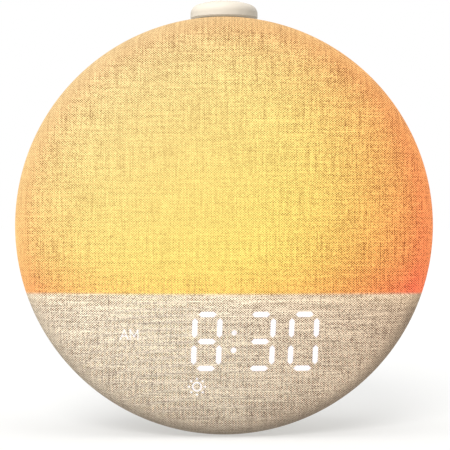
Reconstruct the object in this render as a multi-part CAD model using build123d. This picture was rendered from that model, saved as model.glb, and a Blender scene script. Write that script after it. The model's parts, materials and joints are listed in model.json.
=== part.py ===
"""Sunrise alarm clock: a round bedside clock with a cloth front, a glowing upper field and one big button.

Millimetres. The clock stands on the plane Z = 0 and looks along -Y, with its left and right along X. The
whole front is a shallow dome of cloth over a moulded frame: light shines through its upper field, and digits
through the lower one. Everything is first built about the disc's own axis, which is Y through (0, 0, 0),
and lifted to its standing height when it is written.
"""

import math
import os

from build123d import *

# ---------------------------------------------------------------- driving dimensions: the outer body
DISC_DIAMETER = 176.0
BODY_DEPTH = 94.0
GROUND_GAP = 1.0  # between the disc's lowest line and the table
DOME_RADIUS = 290.0  # of the cloth's shallow front dome
EDGE_ROLL = 7.0  # radius of the roll from the dome into the side
CLOTH = 0.8
GLUE_LINE = 0.1  # between two bonded faces
CLOTH_DEPTH = 25.8  # from the dome's top to the cloth's turned rear edge
HEM_WIDTH = 2.7  # of the cloth turned in behind the frame
SEAM_GAP = 0.6  # shadow gap between the cloth and the rear housing
HOUSING_WALL = 2.5
BOWL_DEPTH = 53.0  # length of the housing's curved part
BACK_FLAT_DIAMETER = 88.0
RIM_BREAK = 0.5  # edge break on the housing's front rim

# ---------------------------------------------------------------- driving dimensions: the foot
FOOT_FRONT = 1.6  # from the housing's front rim back to the foot
FOOT_LENGTH = 51.0
FOOT_FRONT_WIDTH = 22.0
FOOT_REAR_WIDTH = 64.0
FOOT_CORNER = 9.0
FOOT_FLARE = 3.5  # how much wider the plinth is at its top
PLINTH_HEIGHT = 29.0
LIP_HEIGHT = 1.0  # of the plinth's lip over the table
PAD_THICKNESS = 2.0
PAD_INSET = 1.6
PAD_FIT = 0.2
PAD_BREAK = 0.5
PLINTH_FLOOR = 2.0  # of solid plastic over the pad

# ---------------------------------------------------------------- driving dimensions: front frame and panels
FRAME_SKIN = 2.1
PANEL = 2.0  # thickness of the diffuser and of the display window
PANEL_FIT = 0.15
PANEL_RADIUS = 79.0  # of the frame's round opening
LEDGE = 2.0
LEDGE_OVERLAP = 4.0
FRAME_RIM = 2.6
SPIGOT_FIT = 0.3
SPIGOT_WALL = 2.5
SPIGOT_LENGTH = 8.0  # behind the cloth's edge
DIVIDER_DROP = 29.5  # the bar between the two fields lies this far under the axis
DIVIDER_BAR = 3.0

# ---------------------------------------------------------------- driving dimensions: chassis, light engine
CHASSIS = 2.0
CHASSIS_SETBACK = 35.5  # from the dome's top to the chassis
CHASSIS_FIT = 0.3
TRAY_WALL = 1.2
TRAY_FIT = 0.1
BOARD = 1.6
THIN_BOARD = 1.2
CHASSIS_POST = 3.0  # radius of a post for an M2 screw
SLOT_ROOM = 2.0  # round the light board's plug, where it passes the plate
RIBBON_ROOM = 1.5  # over and under the display's two plugs
LED_BOARD_STANDOFF = 0.7
LED_PITCH = 20.0
LED_SIZE = 5.0
LED_HEIGHT = 1.6
LED_HOLE_FIT = 0.4
LED_PLUG_X = 41.0
LED_PLUG_SIZE = (10.0, 5.0)

# ---------------------------------------------------------------- driving dimensions: display
DIGIT_HEIGHT = 22.5  # between the middles of the top and bottom bars
DIGIT_WIDTH = 10.4
DIGIT_PITCH = 18.3
COLON_SPREAD = 4.0  # what the colon adds to the middle pitch
DIGIT_ROW_DROP = 48.9
DISPLAY_CENTRE_X = 4.1
BAR_THICKNESS = 2.5
BAR_LENGTH = 7.6
BAR_SLANT = 2.0  # degrees
COLON_DOT = 2.4
COLON_STEP = 7.4
DAY_MARK = (9.0, 4.6)
DAY_MARK_X = -39.5
AM_DROP = 46.0
PM_DROP = 54.0
SUN_X = -11.3
SUN_DROP = 68.0
SUN_RING = 2.0
SUN_LINE = 0.6
SUN_DOT_CIRCLE = 3.4
SUN_DOT = 0.45
LIGHT_BOX_MARGIN = 2.4
LENS_DEPTH = 2.0
DISPLAY_SETBACK = 23.0  # from the dome's top to the display board's face
EAR = 3.0  # radius of a screw ear, and its thickness
EARS = [(-54.1, 8.9), (43.9, 8.9), (-32.1, -18.1), (17.9, -18.1)]  # from the middle of the digit row
EAR_ANCHORS = [(-46.1, 8.9), (35.9, 8.9), (-32.1, -11.1), (17.9, -11.1)]  # where their arms start
CARD_MARGIN = 0.5  # of the display board round its ears
CARD_HEADROOM = 2.5
DISPLAY_LAMP = (1.6, 0.8)
DISPLAY_LAMP_HEIGHT = 0.7
DISPLAY_PLUG_DROP = 38.5
DISPLAY_PLUG = (20.0, 4.0)

# ---------------------------------------------------------------- driving dimensions: top button
BUTTON_Y = 6.0
KNOB_DIAMETER = 29.6
KNOB_HEIGHT = 8.2
KNOB_CROWN = 38.0
KNOB_ROLL = 4.0
KNOB_GAP = 2.9  # from the disc's top line to the knob's underside
KNOB_EDGE = 0.6
KNOB_WALL = 2.0
KNOB_HOLLOW = 3.0
NECK_DIAMETER = 14.0
NECK_LENGTH = 10.6
STEM_DIAMETER = 5.0
STEM_LENGTH = 11.0
BUTTON_TRAVEL = 1.2
CLIP = 0.8  # thickness of the retaining clip
CLIP_GROOVE = 0.45
CLIP_REACH = 1.7  # past the stem
CLIP_MOUTH = 0.4  # how much narrower than the groove
PLUNGER_RADIUS = 1.7
PLUNGER_LENGTH = 3.0
PLUNGER_WELL = 0.2  # left under the plunger when it is pressed
SWITCH_SIZE = 6.0
SWITCH_HEIGHT = 4.0
SWITCH_CLEAR = 0.5  # from the pressed stem to the switch
SPRING_WIRE = 0.35
SPRING_TURNS = 4.5
LEG_X = 8.0
LEG_RADIUS = 1.8
BUTTON_BOARD = (22.0, 12.0)
BUTTON_BOARD_CORNER = 1.5
GUIDE_FIT = 0.12
GUIDE_WALL = 2.45
GUIDE_FLANGE = 2.0
GUIDE_FLOOR = 2.0
SPRING_SPACE = 5.5
BEZEL_PROUD = 0.8
SLEEVE_WALL = 2.6
SLEEVE_LENGTH = 10.1
GUIDE_SCREW_OUT = 4.0  # from the guide's barrel to its screws
GUIDE_BOSS = 3.0
GUIDE_EAR = 3.4
GUIDE_SCREW_BITE = 4.5

# ---------------------------------------------------------------- driving dimensions: rocker keys
ROCKER_ANGLE = 32.0  # round from the top
ROCKER_Y = 14.0
ROCKER_LENGTH = 24.0
ROCKER_WIDTH = 8.0
ROCKER_FIT = 0.4
ROCKER_PROUD = 0.9
ROCKER_SKIN = 2.1
PIN_RADIUS = 0.8
PIN_FIT = 0.03
PIN_INSET = 0.1
PIVOT_DEPTH = 3.8
SWITCH_ARM = 8.5
ROCKER_HUB = (3.5, 3.3)  # half its length and half its width
HUB_WALL = 0.8  # under the pin
ROCKER_NUB = 1.3
NUB_DEPTH = 4.0
LUG = 1.7
LUG_CLEAR = 0.15
LUG_DEPTH = 6.0
ROCKER_POST = 1.8
POST_CLEAR = 0.3
POST_SKIN = 4.0  # of solid post over its screw
SWITCH_BOARD_DEPTH = 8.2
ROCKER_SWITCH = (4.5, 2.6)  # its side and its height
ROCKER_STUD = 1.1
STUD_TOP = 4.7
ROCKER_REACH = 9.0  # of a cutting tool through the bowl

# ---------------------------------------------------------------- driving dimensions: speaker
SPEAKER_HOLE = 23.5
CUP_RADIUS = 31.0
CUP_WALL = 2.0
CUP_DEPTH = 37.0
BACK_WALL = 3.0
GRILLE_DEPTH = 3.0
GRILLE_RADIUS = 40.3
GRILLE_FIT = 0.3
GRILLE_SKIN = 1.4
GRILLE_RIM = 2.3
GRILLE_HOLE = 0.95
GRILLE_PITCH = 3.6
GRILLE_FIELD = 34.0
GRILLE_CLOTH = 0.4
POST_CIRCLE = 36.0
POST_RADIUS = 4.0
FLANGE_RADIUS = 27.0
FLANGE = 2.0
GASKET = 1.0
CUP_EAR = 3.2  # radius of a screw ear on the cup
EAR_PLATE = 2.5
CUP_SCREW_BITE = 1.5  # of a cup screw in the back wall
FLANGE_SCREW_BITE = 2.0
SURROUND_INNER = 19.6
SURROUND_OUTER = 22.4
SURROUND_FIT = 0.1
SURROUND_SHEET = 0.4
SURROUND_LIFT = 0.2  # over the flange's front face
BASKET_DEPTH = 12.0
BASKET_SHEET = 1.2
BASKET_FLOOR = 1.5
BASKET_WINDOW = (10.0, 2.5)  # its width, and what stays at either end
MAGNET_RADIUS = 15.0
MAGNET_LENGTH = 11.0
MAGNET_PLATE = 2.0
COIL_RADIUS = 7.0
COIL_SHEET = 0.2
COIL_GAP = 0.4
COIL_LENGTH_IN_GAP = 7.0
CONE_DEPTH = 8.0
CONE_PAPER = 0.5
CONE_RIM = 0.3
CAP_RISE = 2.6
LEAD_HOLE_DROP = 24.0
TERMINAL = (6.0, 1.0)
TERMINAL_SETBACK = 5.0

# ---------------------------------------------------------------- driving dimensions: boards and power inlet
MAIN_BOARD = (76.0, 35.0)
MAIN_BOARD_TOP = 33.0  # under the axis
MAIN_BOARD_STANDOFF = 3.0
MAIN_SCREW_INSET = 4.0
INLET_DROP = 59.0
INLET_POCKET = (16.0, 9.0)
INLET_POCKET_DEPTH = 8.5  # from the body's back plane to the pocket's floor
INLET_WALL = 2.0
SOCKET = (8.94, 3.26)
SOCKET_LENGTH = 7.35
SOCKET_SHEET = 0.3
SOCKET_FIT = 0.25
INLET_BOARD = (17.0, 16.0)
INLET_SCREW_X = 6.2
INLET_SCREW_INSET = 4.0  # from the shelf's front edge
POCKET_CORNER = 3.0
SHELF = 2.0
SHELF_MARGIN = 0.5  # of the shelf beside its board
SHELF_SPARE = 1.0  # of the shelf in front of its board
SHELF_RIB = 2.4
RIB_SETBACK = 3.0
SOCKET_STEP = 1.2  # from the socket's ends to its tongue, and the thickness of its rear wall
SOCKET_TONGUE = (6.7, 0.7)
BOARD_CORNER = 1.0

# ---------------------------------------------------------------- screws
# Radius, length, head radius and head height of each size.
M2 = (1.0, 6.0, 1.9, 1.3)
M2_LONG = (1.0, 8.0, 1.9, 1.3)
M2_SHORT = (1.0, 4.8, 1.6, 1.2)
M2_BOARD = (1.0, 5.5, 1.9, 1.3)
M2_SHELF = (1.0, 2.9, 1.9, 1.3)
M16 = (0.8, 4.6, 1.6, 1.0)
M3 = (1.5, 9.0, 2.75, 1.8)
M3_SHORT = (1.5, 8.0, 2.75, 1.8)
SCREW_SOCKET_DEPTH = 0.6  # of the head's height
SCREW_SOCKET_RADIUS = 0.5  # of the head's radius
SCREW_FIT = 0.05
HEAD_FIT = 0.3

# ---------------------------------------------------------------- driving dimensions: leads and fits
SMALL_FIT = 0.05
LEAD_RADIUS = 0.7
LEAD_SPACING = 2.2
BEND_SHARE = 0.45  # of a lead's shorter run that each bend takes up

# ---------------------------------------------------------------- worked out from the driving dimensions
DISC_RADIUS = DISC_DIAMETER / 2
AXIS_Z = DISC_RADIUS + GROUND_GAP
FLOOR = -AXIS_Z
FRONT_Y = -BODY_DEPTH / 2
BACK_Y = BODY_DEPTH / 2
CLOTH_END = FRONT_Y + CLOTH_DEPTH
HOUSING_FRONT = CLOTH_END + SEAM_GAP
BOWL_START = BACK_Y - BOWL_DEPTH
BACK_RADIUS = BACK_FLAT_DIAMETER / 2
FRAME_FACE = CLOTH + GLUE_LINE  # inset of the frame's and panels' outer face
PANEL_BACK = FRAME_FACE + PANEL
LEDGE_FACE = FRAME_FACE + FRAME_SKIN
LEDGE_BACK = LEDGE_FACE + LEDGE
LEDGE_RADIUS = PANEL_RADIUS - LEDGE_OVERLAP
FRAME_INNER = DISC_RADIUS - FRAME_FACE - FRAME_RIM
HOUSING_INNER = DISC_RADIUS - HOUSING_WALL
SPIGOT_OUTER = HOUSING_INNER - SPIGOT_FIT
SPIGOT_INNER = SPIGOT_OUTER - SPIGOT_WALL
SPIGOT_END = CLOTH_END + SPIGOT_LENGTH
CHASSIS_FACE = FRONT_Y + CHASSIS_SETBACK
CHASSIS_BACK = CHASSIS_FACE + CHASSIS
CHASSIS_RADIUS = SPIGOT_INNER - CHASSIS_FIT
LED_BOARD_BACK = CHASSIS_FACE - LED_BOARD_STANDOFF
LED_BOARD_FACE = LED_BOARD_BACK - BOARD
TRAY_FLOOR_BACK = LED_BOARD_FACE - TRAY_FIT
TRAY_FLOOR_FACE = TRAY_FLOOR_BACK - TRAY_WALL
TRAY_RADIUS = LEDGE_RADIUS + TRAY_WALL / 2
TRAY_BOTTOM = -DIVIDER_DROP
LED_PLUG_MIDDLE = TRAY_BOTTOM + TRAY_WALL + LED_PLUG_SIZE[1]
DISPLAY_FACE = FRONT_Y + DISPLAY_SETBACK
DISPLAY_BACK = DISPLAY_FACE + BOARD
MAIN_FACE = CHASSIS_BACK + MAIN_BOARD_STANDOFF
MAIN_BACK = MAIN_FACE + BOARD
GRILLE_FLOOR = BACK_Y - GRILLE_DEPTH
BACK_WALL_FACE = GRILLE_FLOOR - BACK_WALL
CUP_FRONT = BACK_WALL_FACE - CUP_DEPTH
KNOB_UNDER = DISC_RADIUS + KNOB_GAP
NECK_END = KNOB_UNDER - NECK_LENGTH
STEM_END = NECK_END - STEM_LENGTH
NECK_RADIUS = NECK_DIAMETER / 2
STEM_RADIUS = STEM_DIAMETER / 2
GUIDE_RADIUS = NECK_RADIUS + GUIDE_FIT + GUIDE_WALL
SLEEVE_END = DISC_RADIUS - SLEEVE_LENGTH
GUIDE_FLOOR_TOP = NECK_END - SPRING_SPACE
GUIDE_FLOOR_UNDER = GUIDE_FLOOR_TOP - GUIDE_FLOOR

HAIR = 0.001  # keeps a cutting tool clear of a coincident face
PAST = 1.0  # how far a cutting tool runs past the face that it opens
FAR = 200.0  # past the whole body
PARTS = {}


# ---------------------------------------------------------------- helpers
def keep(name, shape):
    """Files a sub-part under its node's name."""
    PARTS[name] = shape
    return shape


def polar(radius, degrees):
    """A point of the X-Z plane, by its distance from the axis and its angle up from +X."""
    return radius * math.cos(math.radians(degrees)), radius * math.sin(math.radians(degrees))


def revolved(outline):
    """Turns a closed outline, drawn with X as radius and Y as Y, about the disc's axis."""
    return revolve(make_face(outline), Axis.Y)


def along_y(sketch, near, far):
    """Extrudes an outline drawn in X and Z from Y = near back to Y = far."""
    return extrude(Plane.XZ.offset(-far) * sketch, far - near)


def along_z(sketch, low, high):
    """Extrudes an outline drawn in X and Y from Z = low up to Z = high."""
    return extrude(Pos(0, 0, low) * sketch, high - low)


def rod_y(x, z, radius, near, far):
    return along_y(Pos(x, z) * Circle(radius), near, far)


def rod_z(x, y, radius, low, high):
    return along_z(Pos(x, y) * Circle(radius), low, high)


def ring_y(outer, inner, near, far):
    return along_y(Circle(outer) - Circle(inner), near, far)


def block(x, y, z):
    """A box from its three (low, high) pairs."""
    lows, highs = zip(x, y, z)
    size = [high - low for low, high in zip(lows, highs)]
    return Pos(*lows) * Box(*size, align=(Align.MIN, Align.MIN, Align.MIN))


def arc_about(centre, radius, start, stop, up=1):
    """An arc of an X-Y outline. Its angles count from +Y, or from -Y where up is -1, towards +X."""
    at = [
        (centre[0] + radius * math.sin(a), centre[1] + up * radius * math.cos(a))
        for a in (start, (start + stop) / 2, stop)
    ]
    return ThreePointArc(*at)


def dome_meets_roll(radius, dome, roll):
    """How far apart the centres of a dome and its roll lie along the axis, and the angle where they meet."""
    across = radius - roll
    apart = math.sqrt((dome - roll) ** 2 - across**2)
    return apart, math.atan2(across, apart)


def screw(radius, length, head_radius, head_height):
    """A pan-head screw standing on Z = 0: the head above, the shank below, a hex socket in the head."""
    head = Pos(0, 0, head_height / 2) * Cylinder(head_radius, head_height)
    shank = Pos(0, 0, -length / 2) * Cylinder(radius, length)
    socket_depth = head_height * SCREW_SOCKET_DEPTH
    socket = Pos(0, 0, head_height - socket_depth) * extrude(
        RegularPolygon(head_radius * SCREW_SOCKET_RADIUS, 6), socket_depth
    )
    return head + shank - socket


def facing_back(x, z, y):
    """Places a screw whose head sits on Y = y and looks backwards, +Y."""
    return Pos(x, y, z) * Rot(-90, 0, 0)


def facing_front(x, z, y):
    """Places a screw whose head sits on Y = y and looks forwards, -Y."""
    return Pos(x, y, z) * Rot(90, 0, 0)


def group(solids):
    """Several separate solids of one node."""
    return Compound([s for shape in solids for s in shape.solids()])


def cable(points, radius):
    """A round lead along straight runs, joined by arcs as large as the runs allow."""
    spots = [Vector(*point) for point in points]
    bends = []
    for before, corner, after in zip(spots, spots[1:], spots[2:]):
        turn = math.radians((corner - before).get_angle(after - corner))
        shorter = min((corner - before).length, (after - corner).length)
        bends.append(BEND_SHARE * shorter / math.tan(turn / 2))
    path = FilletPolyline(*spots, radius=bends)
    return sweep(Plane(origin=path @ 0, z_dir=path % 0) * Circle(radius), path)


# ---------------------------------------------------------------- the two turned forms of the body
def front_form(inset, end):
    """The domed front as a solid, set in from the cloth's outer face, back to Y = end."""
    apart, turn = dome_meets_roll(DISC_RADIUS, DOME_RADIUS, EDGE_ROLL)
    dome_centre = (0, FRONT_Y + DOME_RADIUS)
    roll_centre = (DISC_RADIUS - EDGE_ROLL, dome_centre[1] - apart)
    side = DISC_RADIUS - inset
    dome = arc_about(dome_centre, DOME_RADIUS - inset, 0, turn, up=-1)
    roll = arc_about(roll_centre, EDGE_ROLL - inset, turn, math.pi / 2, up=-1)
    rest = Polyline((side, roll_centre[1]), (side, end), (0, end), (0, FRONT_Y + inset))
    return revolved([dome, roll, rest])


def dome_face_y(radius, inset=0.0):
    """Y of the front dome at a distance from the axis."""
    return FRONT_Y + DOME_RADIUS - math.sqrt((DOME_RADIUS - inset) ** 2 - radius**2)


def bowl_form(inset, start=HOUSING_FRONT):
    """The rear bowl as a solid, set in from the housing's outer face, from Y = start to the back."""
    side = DISC_RADIUS - inset
    back = BACK_Y - inset
    curve = EllipticalCenterArc(
        (BACK_RADIUS, BOWL_START), side - BACK_RADIUS, back - BOWL_START, arc_size=90
    )
    rim = RIM_BREAK if inset == 0 else 0.0
    if rim:
        front = Polyline((0, start), (side - rim, start), (side, start + rim), (side, BOWL_START))
    else:
        front = Polyline((0, start), (side, start), (side, BOWL_START))
    rest = Polyline((BACK_RADIUS, back), (0, back), (0, start))
    return revolved([front, curve, rest])


def bowl_radius(y, inset=0.0):
    """The bowl's radius at Y = y."""
    deep = BACK_Y - inset - BOWL_START
    share = max(0.0, y - BOWL_START) / deep
    return BACK_RADIUS + (DISC_RADIUS - inset - BACK_RADIUS) * math.sqrt(1 - share**2)


# ---------------------------------------------------------------- cloth, frame and panels
def upper_field(radius, low):
    """A round field over a level line, in X and Z."""
    return Circle(radius) & (Pos(0, low + radius) * Rectangle(2 * radius, 2 * radius))


def lower_field(radius, high):
    """A round field under a level line, in X and Z."""
    return Circle(radius) & (Pos(0, high - radius) * Rectangle(2 * radius, 2 * radius))


FIELD_DEPTH = (FRONT_Y - PAST, CHASSIS_FACE)
BAR_TOP = -DIVIDER_DROP + DIVIDER_BAR / 2
BAR_UNDER = -DIVIDER_DROP - DIVIDER_BAR / 2
FRAME_BOSS = 3.2
FRAME_SCREW_CIRCLE = TRAY_RADIUS + FRAME_BOSS + TRAY_FIT
FRAME_SCREWS = [polar(FRAME_SCREW_CIRCLE, a) for a in range(30, 390, 60)]


def make_cloth():
    """The cloth over the dome, the rolled edge and the side, turned in behind the frame."""
    hem_end = CLOTH_END - CLOTH
    cloth = front_form(0, CLOTH_END) - front_form(CLOTH, hem_end)
    cloth -= rod_y(0, 0, DISC_RADIUS - HEM_WIDTH, hem_end - HAIR, CLOTH_END + PAST)
    keep("cloth_cover", cloth)


def make_front_frame():
    """Moulded frame: skin with two windows, rebate ledge, divider bar, spigot and screw bosses."""
    skin_end = CLOTH_END - CLOTH
    skin = front_form(FRAME_FACE, skin_end) - front_form(LEDGE_FACE, skin_end)
    skin -= along_y(upper_field(PANEL_RADIUS, BAR_TOP), *FIELD_DEPTH)
    skin -= along_y(lower_field(PANEL_RADIUS, BAR_UNDER), *FIELD_DEPTH)
    ledge = front_form(LEDGE_FACE, skin_end) - front_form(LEDGE_BACK, skin_end)
    top_of_ledge, under_ledge = BAR_TOP + LEDGE, BAR_UNDER - LEDGE
    ledge -= along_y(upper_field(LEDGE_RADIUS, top_of_ledge), *FIELD_DEPTH)
    ledge -= along_y(lower_field(LEDGE_RADIUS, under_ledge), *FIELD_DEPTH)
    rim_start = dome_face_y(FRAME_INNER, LEDGE_FACE)
    rim = ring_y(DISC_RADIUS - FRAME_FACE, FRAME_INNER, rim_start, skin_end)
    rim &= front_form(FRAME_FACE, skin_end)
    spigot = ring_y(SPIGOT_OUTER, SPIGOT_INNER, skin_end - SPIGOT_WALL, SPIGOT_END)
    frame = skin + ledge + rim + spigot
    for x, z in FRAME_SCREWS:
        boss = rod_y(x, z, FRAME_BOSS, FRONT_Y, CHASSIS_FACE) & front_form(LEDGE_FACE, CHASSIS_FACE)
        boss -= rod_y(0, 0, LEDGE_RADIUS + TRAY_WALL / 2 + HAIR, FRONT_Y, CHASSIS_FACE)
        frame += boss
    for x, z in FRAME_SCREWS:
        frame -= rod_y(x, z, M3[0] + SCREW_FIT, CHASSIS_FACE - M3[1] - PAST, CHASSIS_FACE + PAST)
    keep("front_frame", frame)
    screws = [facing_back(x, z, CHASSIS_BACK) * screw(*M3) for x, z in FRAME_SCREWS]
    keep("frame_screws", group(screws))


def make_panels():
    """The opal diffuser above the divider and the smoked display window under it, flush with the frame."""
    sheet = front_form(FRAME_FACE, CLOTH_END) - front_form(PANEL_BACK, CLOTH_END)
    radius = PANEL_RADIUS - PANEL_FIT
    upper = along_y(upper_field(radius, BAR_TOP + PANEL_FIT), *FIELD_DEPTH)
    lower = along_y(lower_field(radius, BAR_UNDER - PANEL_FIT), *FIELD_DEPTH)
    keep("light_diffuser", sheet & upper)
    keep("display_window", sheet & lower)


# ---------------------------------------------------------------- light engine
def led_places():
    """The light's grid: each place whose package stays inside the tray."""
    reach = TRAY_RADIUS - TRAY_WALL - LED_SIZE
    steps = int(reach // LED_PITCH)
    low = TRAY_BOTTOM + TRAY_WALL + LED_SIZE / 2
    line = [step * LED_PITCH for step in range(-steps, steps + 1)]
    return [(x, z) for x in line for z in line if math.hypot(x, z) < reach and z > low]


LED_SCREW_STEPS = ((-5, 1), (5, 1), (-3, 5), (3, 5), (1, -1))  # in half pitches, between the lamps
LED_SCREWS = [(i * LED_PITCH / 2, k * LED_PITCH / 2) for i, k in LED_SCREW_STEPS]


def make_light_engine():
    """White tray, light board with its packages, and the screws through both."""
    inside = along_y(upper_field(TRAY_RADIUS - TRAY_WALL, TRAY_BOTTOM + TRAY_WALL), *FIELD_DEPTH)
    tray = along_y(upper_field(TRAY_RADIUS, TRAY_BOTTOM), FRONT_Y, TRAY_FLOOR_BACK)
    hollow = inside & front_form(0, TRAY_FLOOR_FACE)
    tray = (tray & front_form(LEDGE_BACK + TRAY_FIT, TRAY_FLOOR_BACK)) - hollow
    hole = LED_SIZE + LED_HOLE_FIT
    for x, z in led_places():
        tray -= along_y(Pos(x, z) * Rectangle(hole, hole), TRAY_FLOOR_FACE - PAST, TRAY_FLOOR_BACK + PAST)
    board_low = TRAY_BOTTOM + TRAY_WALL
    board = along_y(upper_field(TRAY_RADIUS - TRAY_WALL, board_low), LED_BOARD_FACE, LED_BOARD_BACK)
    for x, z in LED_SCREWS:
        bore = rod_y(x, z, M2[0] + SCREW_FIT, TRAY_FLOOR_FACE - PAST, LED_BOARD_BACK + PAST)
        tray -= bore
        board -= bore
    keep("reflector_tray", tray)
    keep("light_board", board)
    leds = [
        along_y(Pos(x, z) * Rectangle(LED_SIZE, LED_SIZE), LED_BOARD_FACE - LED_HEIGHT, LED_BOARD_FACE)
        for x, z in led_places()
    ]
    keep("sunrise_leds", group(leds))
    screws = [facing_front(x, z, TRAY_FLOOR_FACE) * screw(*M2) for x, z in LED_SCREWS]
    keep("light_board_screws", group(screws))


# ---------------------------------------------------------------- display
def digit_bars():
    """The seven bars of a digit, about its middle, leaning by the slant."""
    half, across = DIGIT_HEIGHT / 2, DIGIT_WIDTH / 2
    lean = math.tan(math.radians(BAR_SLANT))
    level = [(z * lean, z, 0) for z in (half, 0, -half)]
    upright = [(sx * across + z * lean, z, 90 - BAR_SLANT) for sx in (-1, 1) for z in (half / 2, -half / 2)]
    return level + upright


def digit_centres():
    """X of the four digits, the colon's gap in their middle."""
    inner = (DIGIT_PITCH + COLON_SPREAD) / 2
    outer = inner + DIGIT_PITCH
    return [DISPLAY_CENTRE_X + d for d in (-outer, -inner, inner, outer)]


def bar_apertures():
    """Outlines of every digit bar and of the colon's dots, in X and Z."""
    found = []
    for centre in digit_centres():
        for x, z, turn in digit_bars():
            place = Pos(centre + x, z - DIGIT_ROW_DROP) * Rot(0, 0, turn)
            found.append(place * SlotOverall(BAR_LENGTH, BAR_THICKNESS))
    for step in (1, -1):
        found.append(Pos(DISPLAY_CENTRE_X, step * COLON_STEP / 2 - DIGIT_ROW_DROP) * Circle(COLON_DOT / 2))
    return found


def mark_apertures():
    """Outlines of the morning and evening marks and of the sun sign: a ring and eight dots."""
    found = [Pos(DAY_MARK_X, -drop) * Rectangle(*DAY_MARK) for drop in (AM_DROP, PM_DROP)]
    ring = Circle(SUN_RING + SUN_LINE / 2) - Circle(SUN_RING - SUN_LINE / 2)
    found.append(Pos(SUN_X, -SUN_DROP) * ring)
    for k in range(8):
        x, z = polar(SUN_DOT_CIRCLE, 45 * k)
        found.append(Pos(SUN_X + x, z - SUN_DROP) * Circle(SUN_DOT))
    return found


def on_display(places):
    """Moves places from the middle of the digit row to the disc's own X and Z."""
    return [(DISPLAY_CENTRE_X + x, z - DIGIT_ROW_DROP) for x, z in places]


DISPLAY_EARS = on_display(EARS)


def light_box_outline():
    """The block of light pipes in X and Z: the digit row with the marks, and a step for the sun sign."""
    reach = LIGHT_BOX_MARGIN + BAR_THICKNESS / 2
    high = DIGIT_HEIGHT / 2 + reach - DIGIT_ROW_DROP
    low = -DIGIT_HEIGHT / 2 - reach - DIGIT_ROW_DROP
    left = DAY_MARK_X - DAY_MARK[0] / 2 - LIGHT_BOX_MARGIN
    right = digit_centres()[-1] + DIGIT_WIDTH / 2 + reach
    row = Pos((left + right) / 2, (high + low) / 2) * Rectangle(right - left, high - low)
    sun = SUN_DOT_CIRCLE + SUN_DOT + LIGHT_BOX_MARGIN / 2
    step_high = low + LIGHT_BOX_MARGIN
    step_low = -SUN_DROP - sun
    step = Pos(SUN_X, (step_high + step_low) / 2) * Rectangle(2 * sun, step_high - step_low)
    return row + step


def make_display():
    """Light box that reaches forward to the window, its lenses, and the board with a lamp in every pipe."""
    face = PANEL_BACK + TRAY_FIT
    limit = Circle(LEDGE_RADIUS - TRAY_WALL)
    box = along_y(light_box_outline() & limit, FRONT_Y, DISPLAY_FACE) & front_form(face, DISPLAY_FACE)
    ears = [rod_y(x, z, EAR, DISPLAY_FACE - EAR, DISPLAY_FACE) for x, z in DISPLAY_EARS]
    for ear, (x, z), (ax, az) in zip(ears, DISPLAY_EARS, on_display(EAR_ANCHORS)):
        wide = EAR if x == ax else 0
        tall = EAR if z == az else 0
        across = (min(x, ax) - wide, max(x, ax) + wide)
        upright = (min(z, az) - tall, max(z, az) + tall)
        box += ear + block(across, (DISPLAY_FACE - EAR, DISPLAY_FACE), upright)
    bars, marks = bar_apertures(), mark_apertures()
    for outline in bars:
        box -= along_y(outline, FRONT_Y, DISPLAY_FACE + PAST)
    for drop in (AM_DROP, PM_DROP):
        box -= along_y(Pos(DAY_MARK_X, -drop) * Rectangle(*DAY_MARK), FRONT_Y, DISPLAY_FACE + PAST)
    sun_reach = SUN_DOT_CIRCLE + SUN_DOT + SMALL_FIT
    box -= along_y(Pos(SUN_X, -SUN_DROP) * Circle(sun_reach), FRONT_Y, DISPLAY_FACE + PAST)
    for x, z in DISPLAY_EARS:
        box -= rod_y(x, z, M2[0] + SCREW_FIT, DISPLAY_FACE - EAR - PAST, DISPLAY_FACE + PAST)
    keep("display_light_box", box)

    lens_skin = front_form(face + SMALL_FIT, DISPLAY_FACE) - front_form(face + LENS_DEPTH, DISPLAY_FACE)
    lenses = [along_y(offset(o, -SMALL_FIT), FRONT_Y, DISPLAY_FACE) & lens_skin for o in bars]
    for drop in (AM_DROP, PM_DROP):
        mark = Rectangle(DAY_MARK[0] - 2 * SMALL_FIT, DAY_MARK[1] - 2 * SMALL_FIT)
        lenses.append(along_y(Pos(DAY_MARK_X, -drop) * mark, FRONT_Y, DISPLAY_FACE) & lens_skin)
    sun_lens = along_y(Pos(SUN_X, -SUN_DROP) * Circle(sun_reach - SMALL_FIT), FRONT_Y, DISPLAY_FACE)
    lenses.append(sun_lens & lens_skin)
    keep("segment_lenses", group(lenses))

    places = [(centre + x, z - DIGIT_ROW_DROP) for centre in digit_centres() for x, z, _ in digit_bars()]
    places += [(DISPLAY_CENTRE_X, step * COLON_STEP / 2 - DIGIT_ROW_DROP) for step in (1, -1)]
    places += [(DAY_MARK_X, -AM_DROP), (DAY_MARK_X, -PM_DROP), (SUN_X, -SUN_DROP)]
    lamp_face = DISPLAY_FACE - DISPLAY_LAMP_HEIGHT
    lamps = [along_y(Pos(x, z) * Rectangle(*DISPLAY_LAMP), lamp_face, DISPLAY_FACE) for x, z in places]
    keep("display_leds", group(lamps))

    xs = [x for x, _ in DISPLAY_EARS]
    margin = EAR + CARD_MARGIN
    top = DISPLAY_EARS[0][1] + margin + CARD_HEADROOM
    under = DISPLAY_EARS[2][1] - margin
    card = Pos((min(xs) + max(xs)) / 2, (top + under) / 2) * Rectangle(
        max(xs) - min(xs) + 2 * margin, top - under
    )
    board = along_y(card & Circle(LEDGE_RADIUS - TRAY_WALL / 2), DISPLAY_FACE, DISPLAY_BACK)
    for x, z in DISPLAY_EARS:
        board -= rod_y(x, z, M2[0] + SCREW_FIT, DISPLAY_FACE - PAST, DISPLAY_BACK + PAST)
    keep("display_board", board)
    screws = [facing_front(x, z, DISPLAY_FACE - EAR) * screw(*M2_LONG) for x, z in DISPLAY_EARS]
    keep("display_screws", group(screws))


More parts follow.
